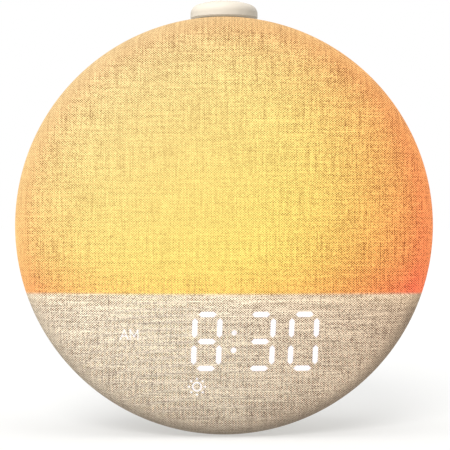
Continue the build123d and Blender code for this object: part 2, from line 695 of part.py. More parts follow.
# ---------------------------------------------------------------- chassis
HOUSING_POSTS = [polar(POST_CIRCLE, a) for a in (45, 135, 225, 315)]
HOUSING_SCREW_SINK = 1.9
MAIN_X = MAIN_BOARD[0] / 2
MAIN_UNDER = -MAIN_BOARD_TOP - MAIN_BOARD[1]
MAIN_SCREW_X = MAIN_X - MAIN_SCREW_INSET
MAIN_SCREW_LEVELS = (-MAIN_BOARD_TOP - MAIN_SCREW_INSET, MAIN_UNDER + MAIN_SCREW_INSET)
MAIN_SCREWS = [(side * MAIN_SCREW_X, z) for side in (-1, 1) for z in MAIN_SCREW_LEVELS]


def make_chassis():
    """The plate that everything is screwed to, with its posts forward and back."""
    plate = rod_y(0, 0, CHASSIS_RADIUS, CHASSIS_FACE, CHASSIS_BACK)
    for x, z in LED_SCREWS:
        plate += rod_y(x, z, CHASSIS_POST, LED_BOARD_BACK, CHASSIS_BACK)
    for x, z in DISPLAY_EARS:
        plate += rod_y(x, z, EAR, DISPLAY_BACK, CHASSIS_FACE)
    for x, z in HOUSING_POSTS:
        plate += rod_y(x, z, POST_RADIUS, CHASSIS_BACK, BACK_WALL_FACE)
    for x, z in MAIN_SCREWS:
        plate += rod_y(x, z, CHASSIS_POST, CHASSIS_BACK, MAIN_FACE)
    for x, z in LED_SCREWS:
        plate -= rod_y(x, z, M2[0] + SCREW_FIT, LED_BOARD_BACK - PAST, CHASSIS_BACK + PAST)
    for x, z in DISPLAY_EARS:
        plate -= rod_y(x, z, M2[0] + SCREW_FIT, DISPLAY_BACK - PAST, DISPLAY_BACK + M2[1])
    for x, z in HOUSING_POSTS:
        plate -= rod_y(x, z, M3[0] + SCREW_FIT, BACK_WALL_FACE - M3[1] - PAST, BACK_WALL_FACE + PAST)
    for x, z in MAIN_SCREWS:
        plate -= rod_y(x, z, M2[0] + SCREW_FIT, CHASSIS_FACE - PAST, MAIN_FACE + PAST)
    for x, z in FRAME_SCREWS:
        plate -= rod_y(x, z, M3[0] + SCREW_FIT, CHASSIS_FACE - PAST, CHASSIS_BACK + PAST)
    slot_size = [size + 2 * SLOT_ROOM for size in LED_PLUG_SIZE]
    led_slot = Pos(LED_PLUG_X, LED_PLUG_MIDDLE) * Rectangle(*slot_size)
    plate -= along_y(led_slot, CHASSIS_FACE - PAST, CHASSIS_BACK + PAST)
    half = DISPLAY_PLUG[0] / 2 + SLOT_ROOM
    high = -DISPLAY_PLUG_DROP + DISPLAY_PLUG[1] / 2 + RIBBON_ROOM
    low = -DISPLAY_PLUG_DROP - DISPLAY_PLUG[1] - RIBBON_ROOM
    plate -= block((-half, half), (CHASSIS_FACE - PAST, CHASSIS_BACK + PAST), (low, high))
    keep("chassis_plate", plate)


# ---------------------------------------------------------------- rear housing
def foot_outline(grow):
    """The foot seen from above: narrow in front, wide at the back, round at the corners."""
    near, far = HOUSING_FRONT + FOOT_FRONT, HOUSING_FRONT + FOOT_FRONT + FOOT_LENGTH
    front, rear = FOOT_FRONT_WIDTH / 2, FOOT_REAR_WIDTH / 2
    shape = Polygon((-front, near), (front, near), (rear, far), (-rear, far), align=None)
    shape = fillet(shape.vertices(), FOOT_CORNER)
    return offset(shape, grow) if grow else shape


def plinth(inset, low):
    """The flared plinth as a solid from Z = low up into the bowl."""
    high = FLOOR + PLINTH_HEIGHT
    bottom = Pos(0, 0, low) * foot_outline(-inset)
    top = Pos(0, 0, high) * foot_outline(FOOT_FLARE - inset)
    return loft([bottom, top])


def rocker_frame(side):
    """A frame on the bowl's face at a rocker: X round the body, Z straight out. side is -1 left, 1 right."""
    share = (ROCKER_Y - BOWL_START) / BOWL_DEPTH
    cosine = math.sqrt(1 - share**2)
    out, back = cosine / (DISC_RADIUS - BACK_RADIUS), share / BOWL_DEPTH
    length = math.hypot(out, back)
    out, back = out / length, back / length
    radius = bowl_radius(ROCKER_Y)
    angle = math.radians(ROCKER_ANGLE) * side
    sine, cosine = math.sin(angle), math.cos(angle)
    return Plane(
        origin=(radius * sine, ROCKER_Y, radius * cosine),
        x_dir=(cosine, 0, -sine),
        z_dir=(out * sine, back, out * cosine),
    )


LUG_GAP = ROCKER_WIDTH / 2 + ROCKER_FIT + LUG_CLEAR
LUG_REACH = LUG_GAP + LUG
ROCKER_POST_X = ROCKER_LENGTH / 2 + ROCKER_FIT + ROCKER_POST + POST_CLEAR
ROCKER_BOARD_UNDER = -SWITCH_BOARD_DEPTH - THIN_BOARD


def pin_hole(frame, length):
    """The hole along a rocker's hinge axis."""
    return frame * Pos(0, 0, -PIVOT_DEPTH) * Rot(90, 0, 0) * Cylinder(PIN_RADIUS + PIN_FIT, length + PAST)


def add_rocker_seat(housing, frame):
    """Cuts a rocker's window in the housing and adds its two hinge lugs and board posts."""
    opening = SlotOverall(ROCKER_LENGTH + 2 * ROCKER_FIT, ROCKER_WIDTH + 2 * ROCKER_FIT)
    window = frame * extrude(opening, ROCKER_REACH, both=True)
    inner = bowl_form(HOUSING_WALL / 2)
    for lug_span in ((-LUG_REACH, -LUG_GAP), (LUG_GAP, LUG_REACH)):
        lug = frame * block((-ROCKER_HUB[0], ROCKER_HUB[0]), lug_span, (-LUG_DEPTH, 0))
        housing += lug & inner
    for sx in (-1, 1):
        post = frame * rod_z(sx * ROCKER_POST_X, 0, ROCKER_POST, -SWITCH_BOARD_DEPTH, 0)
        housing += post & inner
        bore_low = -SWITCH_BOARD_DEPTH - PAST
        housing -= frame * rod_z(sx * ROCKER_POST_X, 0, M16[0] + SCREW_FIT, bore_low, -POST_SKIN)
    housing -= window
    return housing - pin_hole(frame, 2 * LUG_REACH)


POCKET_FLOOR = BACK_Y - INLET_POCKET_DEPTH
SHELF_ROOT = POCKET_FLOOR - INLET_WALL / 2
INLET_BOARD_TOP = -INLET_DROP - SOCKET[1] / 2
SHELF_TOP = INLET_BOARD_TOP - THIN_BOARD
SHELF_FRONT = POCKET_FLOOR - INLET_WALL - INLET_BOARD[1] - SHELF_SPARE
INLET_SCREWS = [(side * INLET_SCREW_X, SHELF_FRONT + INLET_SCREW_INSET) for side in (-1, 1)]
GUIDE_SCREW_X = GUIDE_RADIUS + GUIDE_SCREW_OUT
CUP_EARS = [polar(CUP_RADIUS + CUP_EAR, a) for a in (90, 210, 330)]
CUP_EAR_FACE = BACK_WALL_FACE - EAR_PLATE


def make_housing():
    """The rear shell: bowl, plinth, back wall with the speaker's mouth, power pocket, sleeve and bosses."""
    outer = bowl_form(0)
    behind = block((-FAR, FAR), (HOUSING_FRONT, FAR), (-FAR, FAR))
    lip = FLOOR + LIP_HEIGHT
    shell = outer + (plinth(0, lip) & behind)
    plinth_floor = FLOOR + PAD_THICKNESS + PLINTH_FLOOR
    inside = block((-FAR, FAR), (HOUSING_FRONT + HOUSING_WALL, FAR), (-FAR, FAR))
    shell -= bowl_form(HOUSING_WALL, HOUSING_FRONT - PAST)
    shell -= plinth(HOUSING_WALL, plinth_floor) & inside

    shell += rod_y(0, 0, BACK_RADIUS, BACK_WALL_FACE, BACK_Y - HAIR)
    shell -= rod_y(0, 0, GRILLE_RADIUS + GRILLE_FIT, GRILLE_FLOOR, BACK_Y + PAST)
    for x, z in CUP_EARS:
        shell += rod_y(x, z, CUP_EAR, CUP_EAR_FACE, BACK_WALL_FACE)
    shell -= rod_y(0, 0, SPEAKER_HOLE, BACK_WALL_FACE - PAST, BACK_Y)
    for x, z in HOUSING_POSTS:
        shell -= rod_y(x, z, M3[0] + SCREW_FIT, BACK_WALL_FACE - PAST, BACK_Y)
        shell -= rod_y(x, z, M3[2] + HEAD_FIT, GRILLE_FLOOR - HOUSING_SCREW_SINK, BACK_Y)
    for x, z in CUP_EARS:
        shell -= rod_y(x, z, M2[0] + SCREW_FIT, CUP_EAR_FACE - PAST, BACK_WALL_FACE + CUP_SCREW_BITE)
    for x, z in SPEAKER_SCREWS:
        shell -= rod_y(x, z, M2[0] + SCREW_FIT, BACK_WALL_FACE - PAST, BACK_WALL_FACE + FLANGE_SCREW_BITE)

    half_x, half_z = INLET_POCKET[0] / 2, INLET_POCKET[1] / 2
    pocket_wall = block(
        (-half_x - INLET_WALL, half_x + INLET_WALL),
        (POCKET_FLOOR - INLET_WALL, BACK_Y),
        (-INLET_DROP - half_z - INLET_WALL, -INLET_DROP + half_z + INLET_WALL),
    )
    shell += pocket_wall & bowl_form(HAIR)
    shelf_half = INLET_BOARD[0] / 2 + SHELF_MARGIN
    shelf_under = SHELF_TOP - SHELF
    shell += block((-shelf_half, shelf_half), (SHELF_FRONT, SHELF_ROOT), (shelf_under, SHELF_TOP))
    rib_depth = (SHELF_FRONT + RIB_SETBACK, SHELF_ROOT)
    rib = block((-SHELF_RIB / 2, SHELF_RIB / 2), rib_depth, (plinth_floor - HAIR, shelf_under))
    shell += rib & bowl_or_plinth()
    pocket = Pos(0, -INLET_DROP) * RectangleRounded(*INLET_POCKET, POCKET_CORNER)
    shell -= along_y(pocket, POCKET_FLOOR, BACK_Y + PAST)
    mouth = RectangleRounded(SOCKET[0] + 2 * SOCKET_FIT, SOCKET[1] + 2 * SOCKET_FIT, SOCKET[1] / 2)
    shell -= along_y(Pos(0, -INLET_DROP) * mouth, POCKET_FLOOR - INLET_WALL - PAST, POCKET_FLOOR + PAST)
    for x, y in INLET_SCREWS:
        shell -= rod_z(x, y, M2[0] + SCREW_FIT, shelf_under - PAST, SHELF_TOP + PAST)

    sleeve = rod_z(0, BUTTON_Y, GUIDE_RADIUS + GUIDE_FIT + SLEEVE_WALL, SLEEVE_END, DISC_RADIUS)
    for sx in (-1, 1):
        sleeve += rod_z(sx * GUIDE_SCREW_X, BUTTON_Y, GUIDE_BOSS, SLEEVE_END, DISC_RADIUS)
    shell += sleeve & outer
    shell -= rod_z(0, BUTTON_Y, GUIDE_RADIUS + GUIDE_FIT, SLEEVE_END - PAST, DISC_RADIUS + PAST)
    for sx in (-1, 1):
        bore_top = SLEEVE_END + GUIDE_SCREW_BITE
        shell -= rod_z(sx * GUIDE_SCREW_X, BUTTON_Y, M2[0] + SCREW_FIT, SLEEVE_END - PAST, bore_top)

    recess = offset(foot_outline(-PAD_INSET), PAD_FIT)
    shell -= along_z(recess, FLOOR, FLOOR + PAD_THICKNESS)
    for side in (-1, 1):
        shell = add_rocker_seat(shell, rocker_frame(side))
    keep("rear_housing", shell)

    pad = along_z(foot_outline(-PAD_INSET), FLOOR, FLOOR + PAD_THICKNESS)
    pad = chamfer(pad.edges().group_by(Axis.Z)[0], PAD_BREAK)
    keep("foot_pad", pad)
    seat = GRILLE_FLOOR - HOUSING_SCREW_SINK
    screws = [facing_back(x, z, seat) * screw(*M3_SHORT) for x, z in HOUSING_POSTS]
    keep("housing_screws", group(screws))


def bowl_or_plinth():
    """Everything inside the rear shell's outer face, to trim ribs with."""
    return bowl_form(HOUSING_WALL / 2) + plinth(HOUSING_WALL / 2, FLOOR + LIP_HEIGHT + HAIR)


# ---------------------------------------------------------------- speaker
SPEAKER_SCREW_CIRCLE = (SPEAKER_HOLE + FLANGE_RADIUS) / 2 + SURROUND_FIT
SPEAKER_SCREWS = [polar(SPEAKER_SCREW_CIRCLE, a) for a in (0, 90, 180, 270)]
FLANGE_BACK = BACK_WALL_FACE - GASKET
FLANGE_FACE = FLANGE_BACK - FLANGE
SKIRT_INNER = SURROUND_OUTER + SURROUND_FIT
BASKET_END = FLANGE_FACE - BASKET_DEPTH
BASKET_FLOOR_FACE = BASKET_END - BASKET_FLOOR
MAGNET_FACE = BASKET_END - MAGNET_LENGTH
TERMINAL_FACE = FLANGE_FACE - TERMINAL_SETBACK


def turned(*points):
    """Turns a polygon of (radius, y) points about the disc's axis."""
    return revolve(Polygon(*points, align=None), Axis.Y)


def basket_radius(y):
    """Outer radius of the speaker basket's skirt."""
    share = (y - BASKET_END) / (FLANGE_FACE - BASKET_END)
    return MAGNET_RADIUS + share * (SKIRT_INNER + BASKET_SHEET - MAGNET_RADIUS)


def make_speaker():
    """A two-inch driver that fires back through the grille, in a closed cup."""
    cup = rod_y(0, 0, CUP_RADIUS, CUP_FRONT, BACK_WALL_FACE)
    cup -= rod_y(0, 0, CUP_RADIUS - CUP_WALL, CUP_FRONT + CUP_WALL, BACK_WALL_FACE + PAST)
    for x, z in CUP_EARS:
        plate = (CUP_EAR_FACE - EAR_PLATE, CUP_EAR_FACE)
        tab = block((-CUP_EAR, CUP_EAR), plate, (0, math.hypot(x, z)))
        tab = tab.rotate(Axis.Y, 90 - math.degrees(math.atan2(z, x)))
        tab -= rod_y(0, 0, CUP_RADIUS - CUP_WALL / 2, CUP_FRONT, BACK_WALL_FACE)
        cup += rod_y(x, z, CUP_EAR, *plate) + tab
        cup -= rod_y(x, z, M2[0] + SCREW_FIT, CUP_EAR_FACE - EAR_PLATE - PAST, CUP_EAR_FACE + PAST)
    lead_hole = LEAD_SPACING + LEAD_RADIUS
    cup -= rod_y(0, -LEAD_HOLE_DROP, lead_hole, CUP_FRONT - PAST, CUP_FRONT + CUP_WALL + PAST)
    keep("speaker_cup", cup)
    cup_screws = [facing_front(x, z, CUP_EAR_FACE - EAR_PLATE) * screw(*M2_SHORT) for x, z in CUP_EARS]

    gasket = ring_y(FLANGE_RADIUS, SPEAKER_HOLE, FLANGE_BACK, BACK_WALL_FACE)
    basket = ring_y(FLANGE_RADIUS, SKIRT_INNER, FLANGE_FACE, FLANGE_BACK)
    skirt = BASKET_SHEET
    neck = MAGNET_RADIUS
    basket += turned(
        (SKIRT_INNER, FLANGE_FACE + HAIR),
        (SKIRT_INNER + skirt, FLANGE_FACE + HAIR),
        (neck, BASKET_END),
        (neck - skirt, BASKET_END),
    )
    basket += ring_y(neck, COIL_RADIUS + skirt, BASKET_FLOOR_FACE, BASKET_END + HAIR)
    strip_low = -LEAD_HOLE_DROP - LEAD_RADIUS - TERMINAL[1] / 2
    basket += block(
        (-TERMINAL[0] / 2, TERMINAL[0] / 2),
        (TERMINAL_FACE, TERMINAL_FACE + TERMINAL[1]),
        (strip_low, -basket_radius(TERMINAL_FACE) + skirt),
    )
    window_width, window_end = BASKET_WINDOW
    window_depth = (BASKET_END + window_end, FLANGE_FACE - window_end)
    for angle in (45, 135, 225, 315):
        cutter = block((-window_width / 2, window_width / 2), window_depth, (neck / 2, FLANGE_RADIUS + PAST))
        basket -= cutter.rotate(Axis.Y, angle)
    for x, z in SPEAKER_SCREWS:
        bore = rod_y(x, z, M2[0] + SCREW_FIT, FLANGE_FACE - PAST, BACK_WALL_FACE + PAST)
        gasket -= bore
        basket -= bore
    keep("speaker_gasket", gasket)
    keep("speaker_basket", basket)
    flange_screws = [facing_front(x, z, FLANGE_FACE) * screw(*M2_SHORT) for x, z in SPEAKER_SCREWS]
    keep("speaker_screws", group(cup_screws + flange_screws))

    gap_half = COIL_SHEET + COIL_GAP
    magnet = rod_y(0, 0, MAGNET_RADIUS, MAGNET_FACE, BASKET_FLOOR_FACE)
    magnet -= ring_y(COIL_RADIUS + gap_half, COIL_RADIUS - gap_half, MAGNET_FACE + MAGNET_PLATE, BASKET_END)
    keep("speaker_magnet", magnet)

    roll_r = (SURROUND_OUTER - SURROUND_INNER) / 2
    roll_c = (SURROUND_OUTER + SURROUND_INNER) / 2
    crown = Circle(roll_r) - Circle(roll_r - SURROUND_SHEET)
    crown &= Pos(0, roll_r) * Rectangle(2 * roll_r, 2 * roll_r)
    keep("speaker_surround", revolve(Pos(roll_c, FLANGE_FACE + SURROUND_LIFT) * crown, Axis.Y))

    edge = SURROUND_INNER - SURROUND_FIT
    coil_inner, coil_outer = COIL_RADIUS - COIL_SHEET, COIL_RADIUS + COIL_SHEET
    cone_low = FLANGE_FACE - CONE_DEPTH
    cone_throat = cone_low + 2 * CONE_PAPER
    cone = turned(
        (coil_inner, cone_low),
        (coil_outer + CONE_PAPER, cone_low),
        (edge, FLANGE_FACE),
        (edge, FLANGE_FACE + CONE_PAPER + CONE_RIM),
        (coil_inner, cone_throat),
    )
    keep("speaker_cone", cone)
    keep("voice_coil", ring_y(coil_outer, coil_inner, BASKET_END - COIL_LENGTH_IN_GAP, cone_low))
    cap_low = cone_throat + SMALL_FIT
    cap_edge = coil_inner
    ball = (cap_edge**2 + CAP_RISE**2) / (2 * CAP_RISE)
    reach = math.asin(cap_edge / ball)
    centre_y = cap_low + CAP_RISE - ball
    outer_arc = ThreePointArc(
        (cap_edge, cap_low),
        (ball * math.sin(reach / 2), centre_y + ball * math.cos(reach / 2)),
        (0, cap_low + CAP_RISE),
    )
    cap_face = make_face([outer_arc, Polyline((0, cap_low + CAP_RISE), (0, cap_low), (cap_edge, cap_low))])
    keep("speaker_dust_cap", revolve(cap_face, Axis.Y))


def make_grille():
    """The round insert over the back wall: a perforated face on a rim, with cloth behind it."""
    face = Circle(GRILLE_RADIUS)
    row_step = GRILLE_PITCH * math.sqrt(3) / 2
    rows = math.ceil(GRILLE_FIELD / row_step)
    places = []
    for row in range(-rows, rows + 1):
        shift = GRILLE_PITCH / 2 if row % 2 else 0.0
        for column in range(-rows, rows + 1):
            x, z = column * GRILLE_PITCH + shift, row * row_step
            if math.hypot(x, z) < GRILLE_FIELD:
                places.append((x, z))
    face -= [Pos(x, z) * Circle(GRILLE_HOLE) for x, z in places]
    grille = along_y(face, BACK_Y - GRILLE_SKIN, BACK_Y)
    grille += ring_y(GRILLE_RADIUS, GRILLE_RADIUS - GRILLE_RIM, GRILLE_FLOOR, BACK_Y - GRILLE_SKIN)
    keep("rear_grille", grille)
    behind = BACK_Y - GRILLE_SKIN
    cloth_radius = GRILLE_RADIUS - GRILLE_RIM - GLUE_LINE
    keep("grille_cloth", rod_y(0, 0, cloth_radius, behind - GRILLE_CLOTH, behind))


# ---------------------------------------------------------------- top button
def button_turned(outline):
    """Turns an outline, drawn with X as radius and Y as height, about the button's vertical axis."""
    return Pos(0, BUTTON_Y, 0) * revolve(Plane.XZ * make_face(outline), Axis.Z)


PLUNGER_TOP = STEM_END - SMALL_FIT
SWITCH_TOP = PLUNGER_TOP - BUTTON_TRAVEL - SWITCH_CLEAR
SWITCH_UNDER = SWITCH_TOP - SWITCH_HEIGHT
BUTTON_BOARD_UNDER = SWITCH_UNDER - THIN_BOARD


def make_button():
    """Big top button: knob with neck and stem, its guide, spring, clip, switch and board."""
    radius = KNOB_DIAMETER / 2
    top = KNOB_UNDER + KNOB_HEIGHT
    apart, turn = dome_meets_roll(radius, KNOB_CROWN, KNOB_ROLL)
    crown_centre = (0, top - KNOB_CROWN)
    roll_centre = (radius - KNOB_ROLL, crown_centre[1] + apart)
    crown = arc_about(crown_centre, KNOB_CROWN, 0, turn)
    roll = arc_about(roll_centre, KNOB_ROLL, turn, math.pi / 2)
    clip_top = GUIDE_FLOOR_UNDER - SMALL_FIT
    clip_low = clip_top - CLIP
    groove = STEM_RADIUS - CLIP_GROOVE
    rest = Polyline(
        (0, top),
        (0, STEM_END),
        (STEM_RADIUS, STEM_END),
        (STEM_RADIUS, clip_low - SMALL_FIT),
        (groove, clip_low - SMALL_FIT),
        (groove, clip_top + SMALL_FIT),
        (STEM_RADIUS, clip_top + SMALL_FIT),
        (STEM_RADIUS, NECK_END),
        (NECK_RADIUS, NECK_END),
        (NECK_RADIUS, KNOB_UNDER),
        (radius - KNOB_EDGE, KNOB_UNDER),
        (radius, KNOB_UNDER + KNOB_EDGE),
        (radius, roll_centre[1]),
    )
    knob = button_turned([crown, roll, rest])
    hollow = Pos(0, BUTTON_Y) * (Circle(radius - KNOB_WALL) - Circle(NECK_RADIUS + KNOB_WALL))
    knob -= along_z(hollow, KNOB_UNDER - PAST, KNOB_UNDER + KNOB_HOLLOW)
    keep("top_button", knob)
    clip = Circle(STEM_RADIUS + CLIP_REACH) - Circle(groove + SMALL_FIT)
    clip -= Pos(0, STEM_RADIUS) * Rectangle(2 * groove - CLIP_MOUTH, 2 * STEM_RADIUS)
    keep("button_clip", along_z(Pos(0, BUTTON_Y) * clip, clip_low, clip_top))

    bore = NECK_RADIUS + GUIDE_FIT
    barrel = rod_z(0, BUTTON_Y, GUIDE_RADIUS, GUIDE_FLOOR_UNDER, KNOB_UNDER) & bowl_form(-BEZEL_PROUD)
    flange_top, flange_low = SLEEVE_END, SLEEVE_END - GUIDE_FLANGE
    flange = Pos(0, BUTTON_Y) * make_hull(
        [
            *Circle(GUIDE_RADIUS + SLEEVE_WALL).edges(),
            *(Pos(GUIDE_SCREW_X, 0) * Circle(GUIDE_EAR)).edges(),
            *(Pos(-GUIDE_SCREW_X, 0) * Circle(GUIDE_EAR)).edges(),
        ]
    )
    guide = barrel + along_z(flange, flange_low, flange_top)
    for sx in (-1, 1):
        guide += rod_z(sx * LEG_X, BUTTON_Y, LEG_RADIUS, SWITCH_UNDER, GUIDE_FLOOR_UNDER)
    guide -= rod_z(0, BUTTON_Y, bore, GUIDE_FLOOR_TOP, KNOB_UNDER + PAST)
    guide -= rod_z(0, BUTTON_Y, STEM_RADIUS + GUIDE_FIT, GUIDE_FLOOR_UNDER - PAST, GUIDE_FLOOR_TOP + PAST)
    for sx in (-1, 1):
        guide -= rod_z(sx * GUIDE_SCREW_X, BUTTON_Y, M2[0] + SCREW_FIT, flange_low - PAST, flange_top + PAST)
        guide -= rod_z(sx * LEG_X, BUTTON_Y, M2[0] + SCREW_FIT, SWITCH_UNDER - PAST, SWITCH_UNDER + M2[1])
    keep("button_guide", guide)
    guide_screws = [
        Pos(sx * GUIDE_SCREW_X, BUTTON_Y, flange_low) * Rot(180, 0, 0) * screw(*M2) for sx in (-1, 1)
    ]

    coil_radius = (STEM_RADIUS + NECK_RADIUS) / 2
    free = NECK_END - GUIDE_FLOOR_TOP - 2 * SMALL_FIT
    pitch = (free - 2 * SPRING_WIRE) / SPRING_TURNS
    helix = Helix(pitch, pitch * SPRING_TURNS, coil_radius)
    wire = sweep(Plane(origin=helix @ 0, z_dir=helix % 0) * Circle(SPRING_WIRE), helix, is_frenet=True)
    keep("button_spring", Pos(0, BUTTON_Y, GUIDE_FLOOR_TOP + SMALL_FIT + SPRING_WIRE) * wire)

    plunger = rod_z(0, BUTTON_Y, PLUNGER_RADIUS, PLUNGER_TOP - PLUNGER_LENGTH, PLUNGER_TOP)
    keep("switch_plunger", plunger)
    body = along_z(Pos(0, BUTTON_Y) * Rectangle(SWITCH_SIZE, SWITCH_SIZE), SWITCH_UNDER, SWITCH_TOP)
    well_low = PLUNGER_TOP - PLUNGER_LENGTH - BUTTON_TRAVEL - PLUNGER_WELL
    body -= rod_z(0, BUTTON_Y, PLUNGER_RADIUS + SMALL_FIT, well_low, SWITCH_TOP + PAST)
    keep("button_switch", body)
    board_low = BUTTON_BOARD_UNDER
    card = Pos(0, BUTTON_Y) * RectangleRounded(*BUTTON_BOARD, BUTTON_BOARD_CORNER)
    board = along_z(card, board_low, SWITCH_UNDER)
    for sx in (-1, 1):
        board -= rod_z(sx * LEG_X, BUTTON_Y, M2[0] + SCREW_FIT, board_low - PAST, SWITCH_UNDER + PAST)
    keep("button_board", board)
    board_screws = [Pos(sx * LEG_X, BUTTON_Y, board_low) * Rot(180, 0, 0) * screw(*M2) for sx in (-1, 1)]
    keep("button_screws", group(guide_screws + board_screws))


# ---------------------------------------------------------------- rocker keys
HUB_ROOT = 0.4  # how far the hub sinks into the key's curved skin
NUB_ROOT = 0.1


def make_rocker(name, side):
    """One rocker key with its hub and two nubs, shaped as a piece of the bowl standing a little proud."""
    frame = rocker_frame(side)
    skin = bowl_form(-ROCKER_PROUD) - bowl_form(ROCKER_SKIN - ROCKER_PROUD)
    key = skin & (frame * extrude(SlotOverall(ROCKER_LENGTH, ROCKER_WIDTH), ROCKER_REACH, both=True))
    hub_x, hub_y = ROCKER_HUB
    under = ROCKER_PROUD - ROCKER_SKIN
    hub_low = -PIVOT_DEPTH - PIN_RADIUS - HUB_WALL
    key += frame * block((-hub_x, hub_x), (-hub_y, hub_y), (hub_low, under + HUB_ROOT))
    for sx in (-1, 1):
        key += frame * rod_z(sx * SWITCH_ARM, 0, ROCKER_NUB, -NUB_DEPTH, under - NUB_ROOT)
    keep(name, key - pin_hole(frame, 2 * hub_y))


def make_rocker_works():
    """Pins, switch boards, switches and screws of both rocker keys."""
    pins, boards, switches, screws = [], [], [], []
    pin_length = 2 * (LUG_REACH - PIN_INSET)
    side_length, switch_height = ROCKER_SWITCH
    deck = -SWITCH_BOARD_DEPTH
    for side in (-1, 1):
        frame = rocker_frame(side)
        pins.append(frame * Pos(0, 0, -PIVOT_DEPTH) * Rot(90, 0, 0) * Cylinder(PIN_RADIUS, pin_length))
        card = RectangleRounded(2 * (ROCKER_POST_X + ROCKER_POST), ROCKER_WIDTH, BOARD_CORNER)
        board = along_z(card, ROCKER_BOARD_UNDER, deck)
        for sx in (-1, 1):
            x = sx * ROCKER_POST_X
            board -= rod_z(x, 0, M16[0] + SCREW_FIT, ROCKER_BOARD_UNDER - PAST, 0)
            screws.append(frame * Pos(x, 0, ROCKER_BOARD_UNDER) * Rot(180, 0, 0) * screw(*M16))
            footprint = Pos(sx * SWITCH_ARM, 0) * Rectangle(side_length, side_length)
            body = along_z(footprint, deck, deck + switch_height)
            stud = rod_z(sx * SWITCH_ARM, 0, ROCKER_STUD, deck + switch_height, -STUD_TOP)
            switches.append(frame * (body + stud))
        boards.append(frame * board)
    keep("rocker_pins", group(pins))
    keep("rocker_boards", group(boards))
    keep("rocker_switches", group(switches))
    keep("rocker_screws", group(screws))


# ---------------------------------------------------------------- main board, inlet and leads
PLUG_DEPTH = 4.0
PLUG_HEIGHT = 4.0
PLUG_INSET = 1.5  # from the main board's top edge
PLUG_TOP = -MAIN_BOARD_TOP - PLUG_INSET
PLUG_LEVEL = MAIN_BACK + PLUG_DEPTH / 2
SMALL_PLUG = 5.0
WIDE_PLUG = 8.0
BUTTON_PLUG_X = 9.0
ROCKER_PLUG_X = 18.0
LED_LEAD_X = 26.0
LED_PLUG_DEPTH = 3.4
FLAT_PLUG = 2.4
ROCKER_PLUG = (5.0, 4.0, 2.5)
RIBBON = 0.6
RIBBON_INSET = 1.0  # from the ends of its plugs
BUTTON_PLUG_DEPTH = 3.0
MAIN_MIDDLE = (MAIN_UNDER - MAIN_BOARD_TOP) / 2
# Components on the main board: X, height over its middle, width, height, depth.
CHIPS = [(-6, 1, 10, 10, 1.0), (12, 3, 7, 7, 0.9), (9, -8, 5, 4, 1.4), (-18, -9, 4, 3, 1.1)]
RADIO = (-24, 3, 13, 16, 2.6)
CAPACITORS = [(20, -9), (28, -9), (24, 1)]
CAPACITOR = (3.2, 8.0)  # radius and depth


def rear_box(x, z, width, height, depth):
    """A block standing on the main board's rear face, its middle at X and Z."""
    across = (x - width / 2, x + width / 2)
    upright = (z - height / 2, z + height / 2)
    return block(across, (MAIN_BACK, MAIN_BACK + depth), upright)


def main_plugs():
    """The plugs on the main board: a row along its top edge, the inlet's below, the display's in front."""
    row = [(0, WIDE_PLUG), (BUTTON_PLUG_X, SMALL_PLUG), (LED_LEAD_X, SMALL_PLUG + 1)]
    row += [(side * ROCKER_PLUG_X, SMALL_PLUG) for side in (-1, 1)]
    plugs = [rear_box(x, PLUG_TOP - PLUG_HEIGHT / 2, width, PLUG_HEIGHT, PLUG_DEPTH) for x, width in row]
    plugs.append(rear_box(0, -INLET_DROP, WIDE_PLUG, PLUG_HEIGHT, PLUG_DEPTH))
    half = DISPLAY_PLUG[0] / 2
    low = -DISPLAY_PLUG_DROP - DISPLAY_PLUG[1]
    plugs.append(block((-half, half), (MAIN_FACE - FLAT_PLUG, MAIN_FACE), (low, -DISPLAY_PLUG_DROP)))
    return plugs


def far_plugs():
    """The plugs on the other boards: display, light, button, inlet and the two rockers."""
    half, mid = DISPLAY_PLUG[0] / 2, DISPLAY_PLUG[1] / 2
    low, high = -DISPLAY_PLUG_DROP - mid, -DISPLAY_PLUG_DROP + mid
    plugs = [block((-half, half), (DISPLAY_BACK, DISPLAY_BACK + FLAT_PLUG), (low, high))]
    led = Pos(LED_PLUG_X, LED_PLUG_MIDDLE) * Rectangle(*LED_PLUG_SIZE)
    plugs.append(along_y(led, LED_BOARD_BACK, LED_BOARD_BACK + LED_PLUG_DEPTH))
    button = Pos(0, BUTTON_Y) * Rectangle(SMALL_PLUG, SMALL_PLUG)
    plugs.append(along_z(button, BUTTON_BOARD_UNDER - BUTTON_PLUG_DEPTH, BUTTON_BOARD_UNDER))
    half = WIDE_PLUG / 2
    near = SHELF_FRONT + 1
    top = INLET_BOARD_TOP + PLUG_DEPTH
    plugs.append(block((-half, half), (near, near + PLUG_HEIGHT), (INLET_BOARD_TOP, top)))
    width, height, depth = ROCKER_PLUG
    for side in (-1, 1):
        under = rocker_frame(side) * Pos(0, 0, ROCKER_BOARD_UNDER - depth / 2)
        plugs.append(under * Box(width, height, depth))
    return plugs


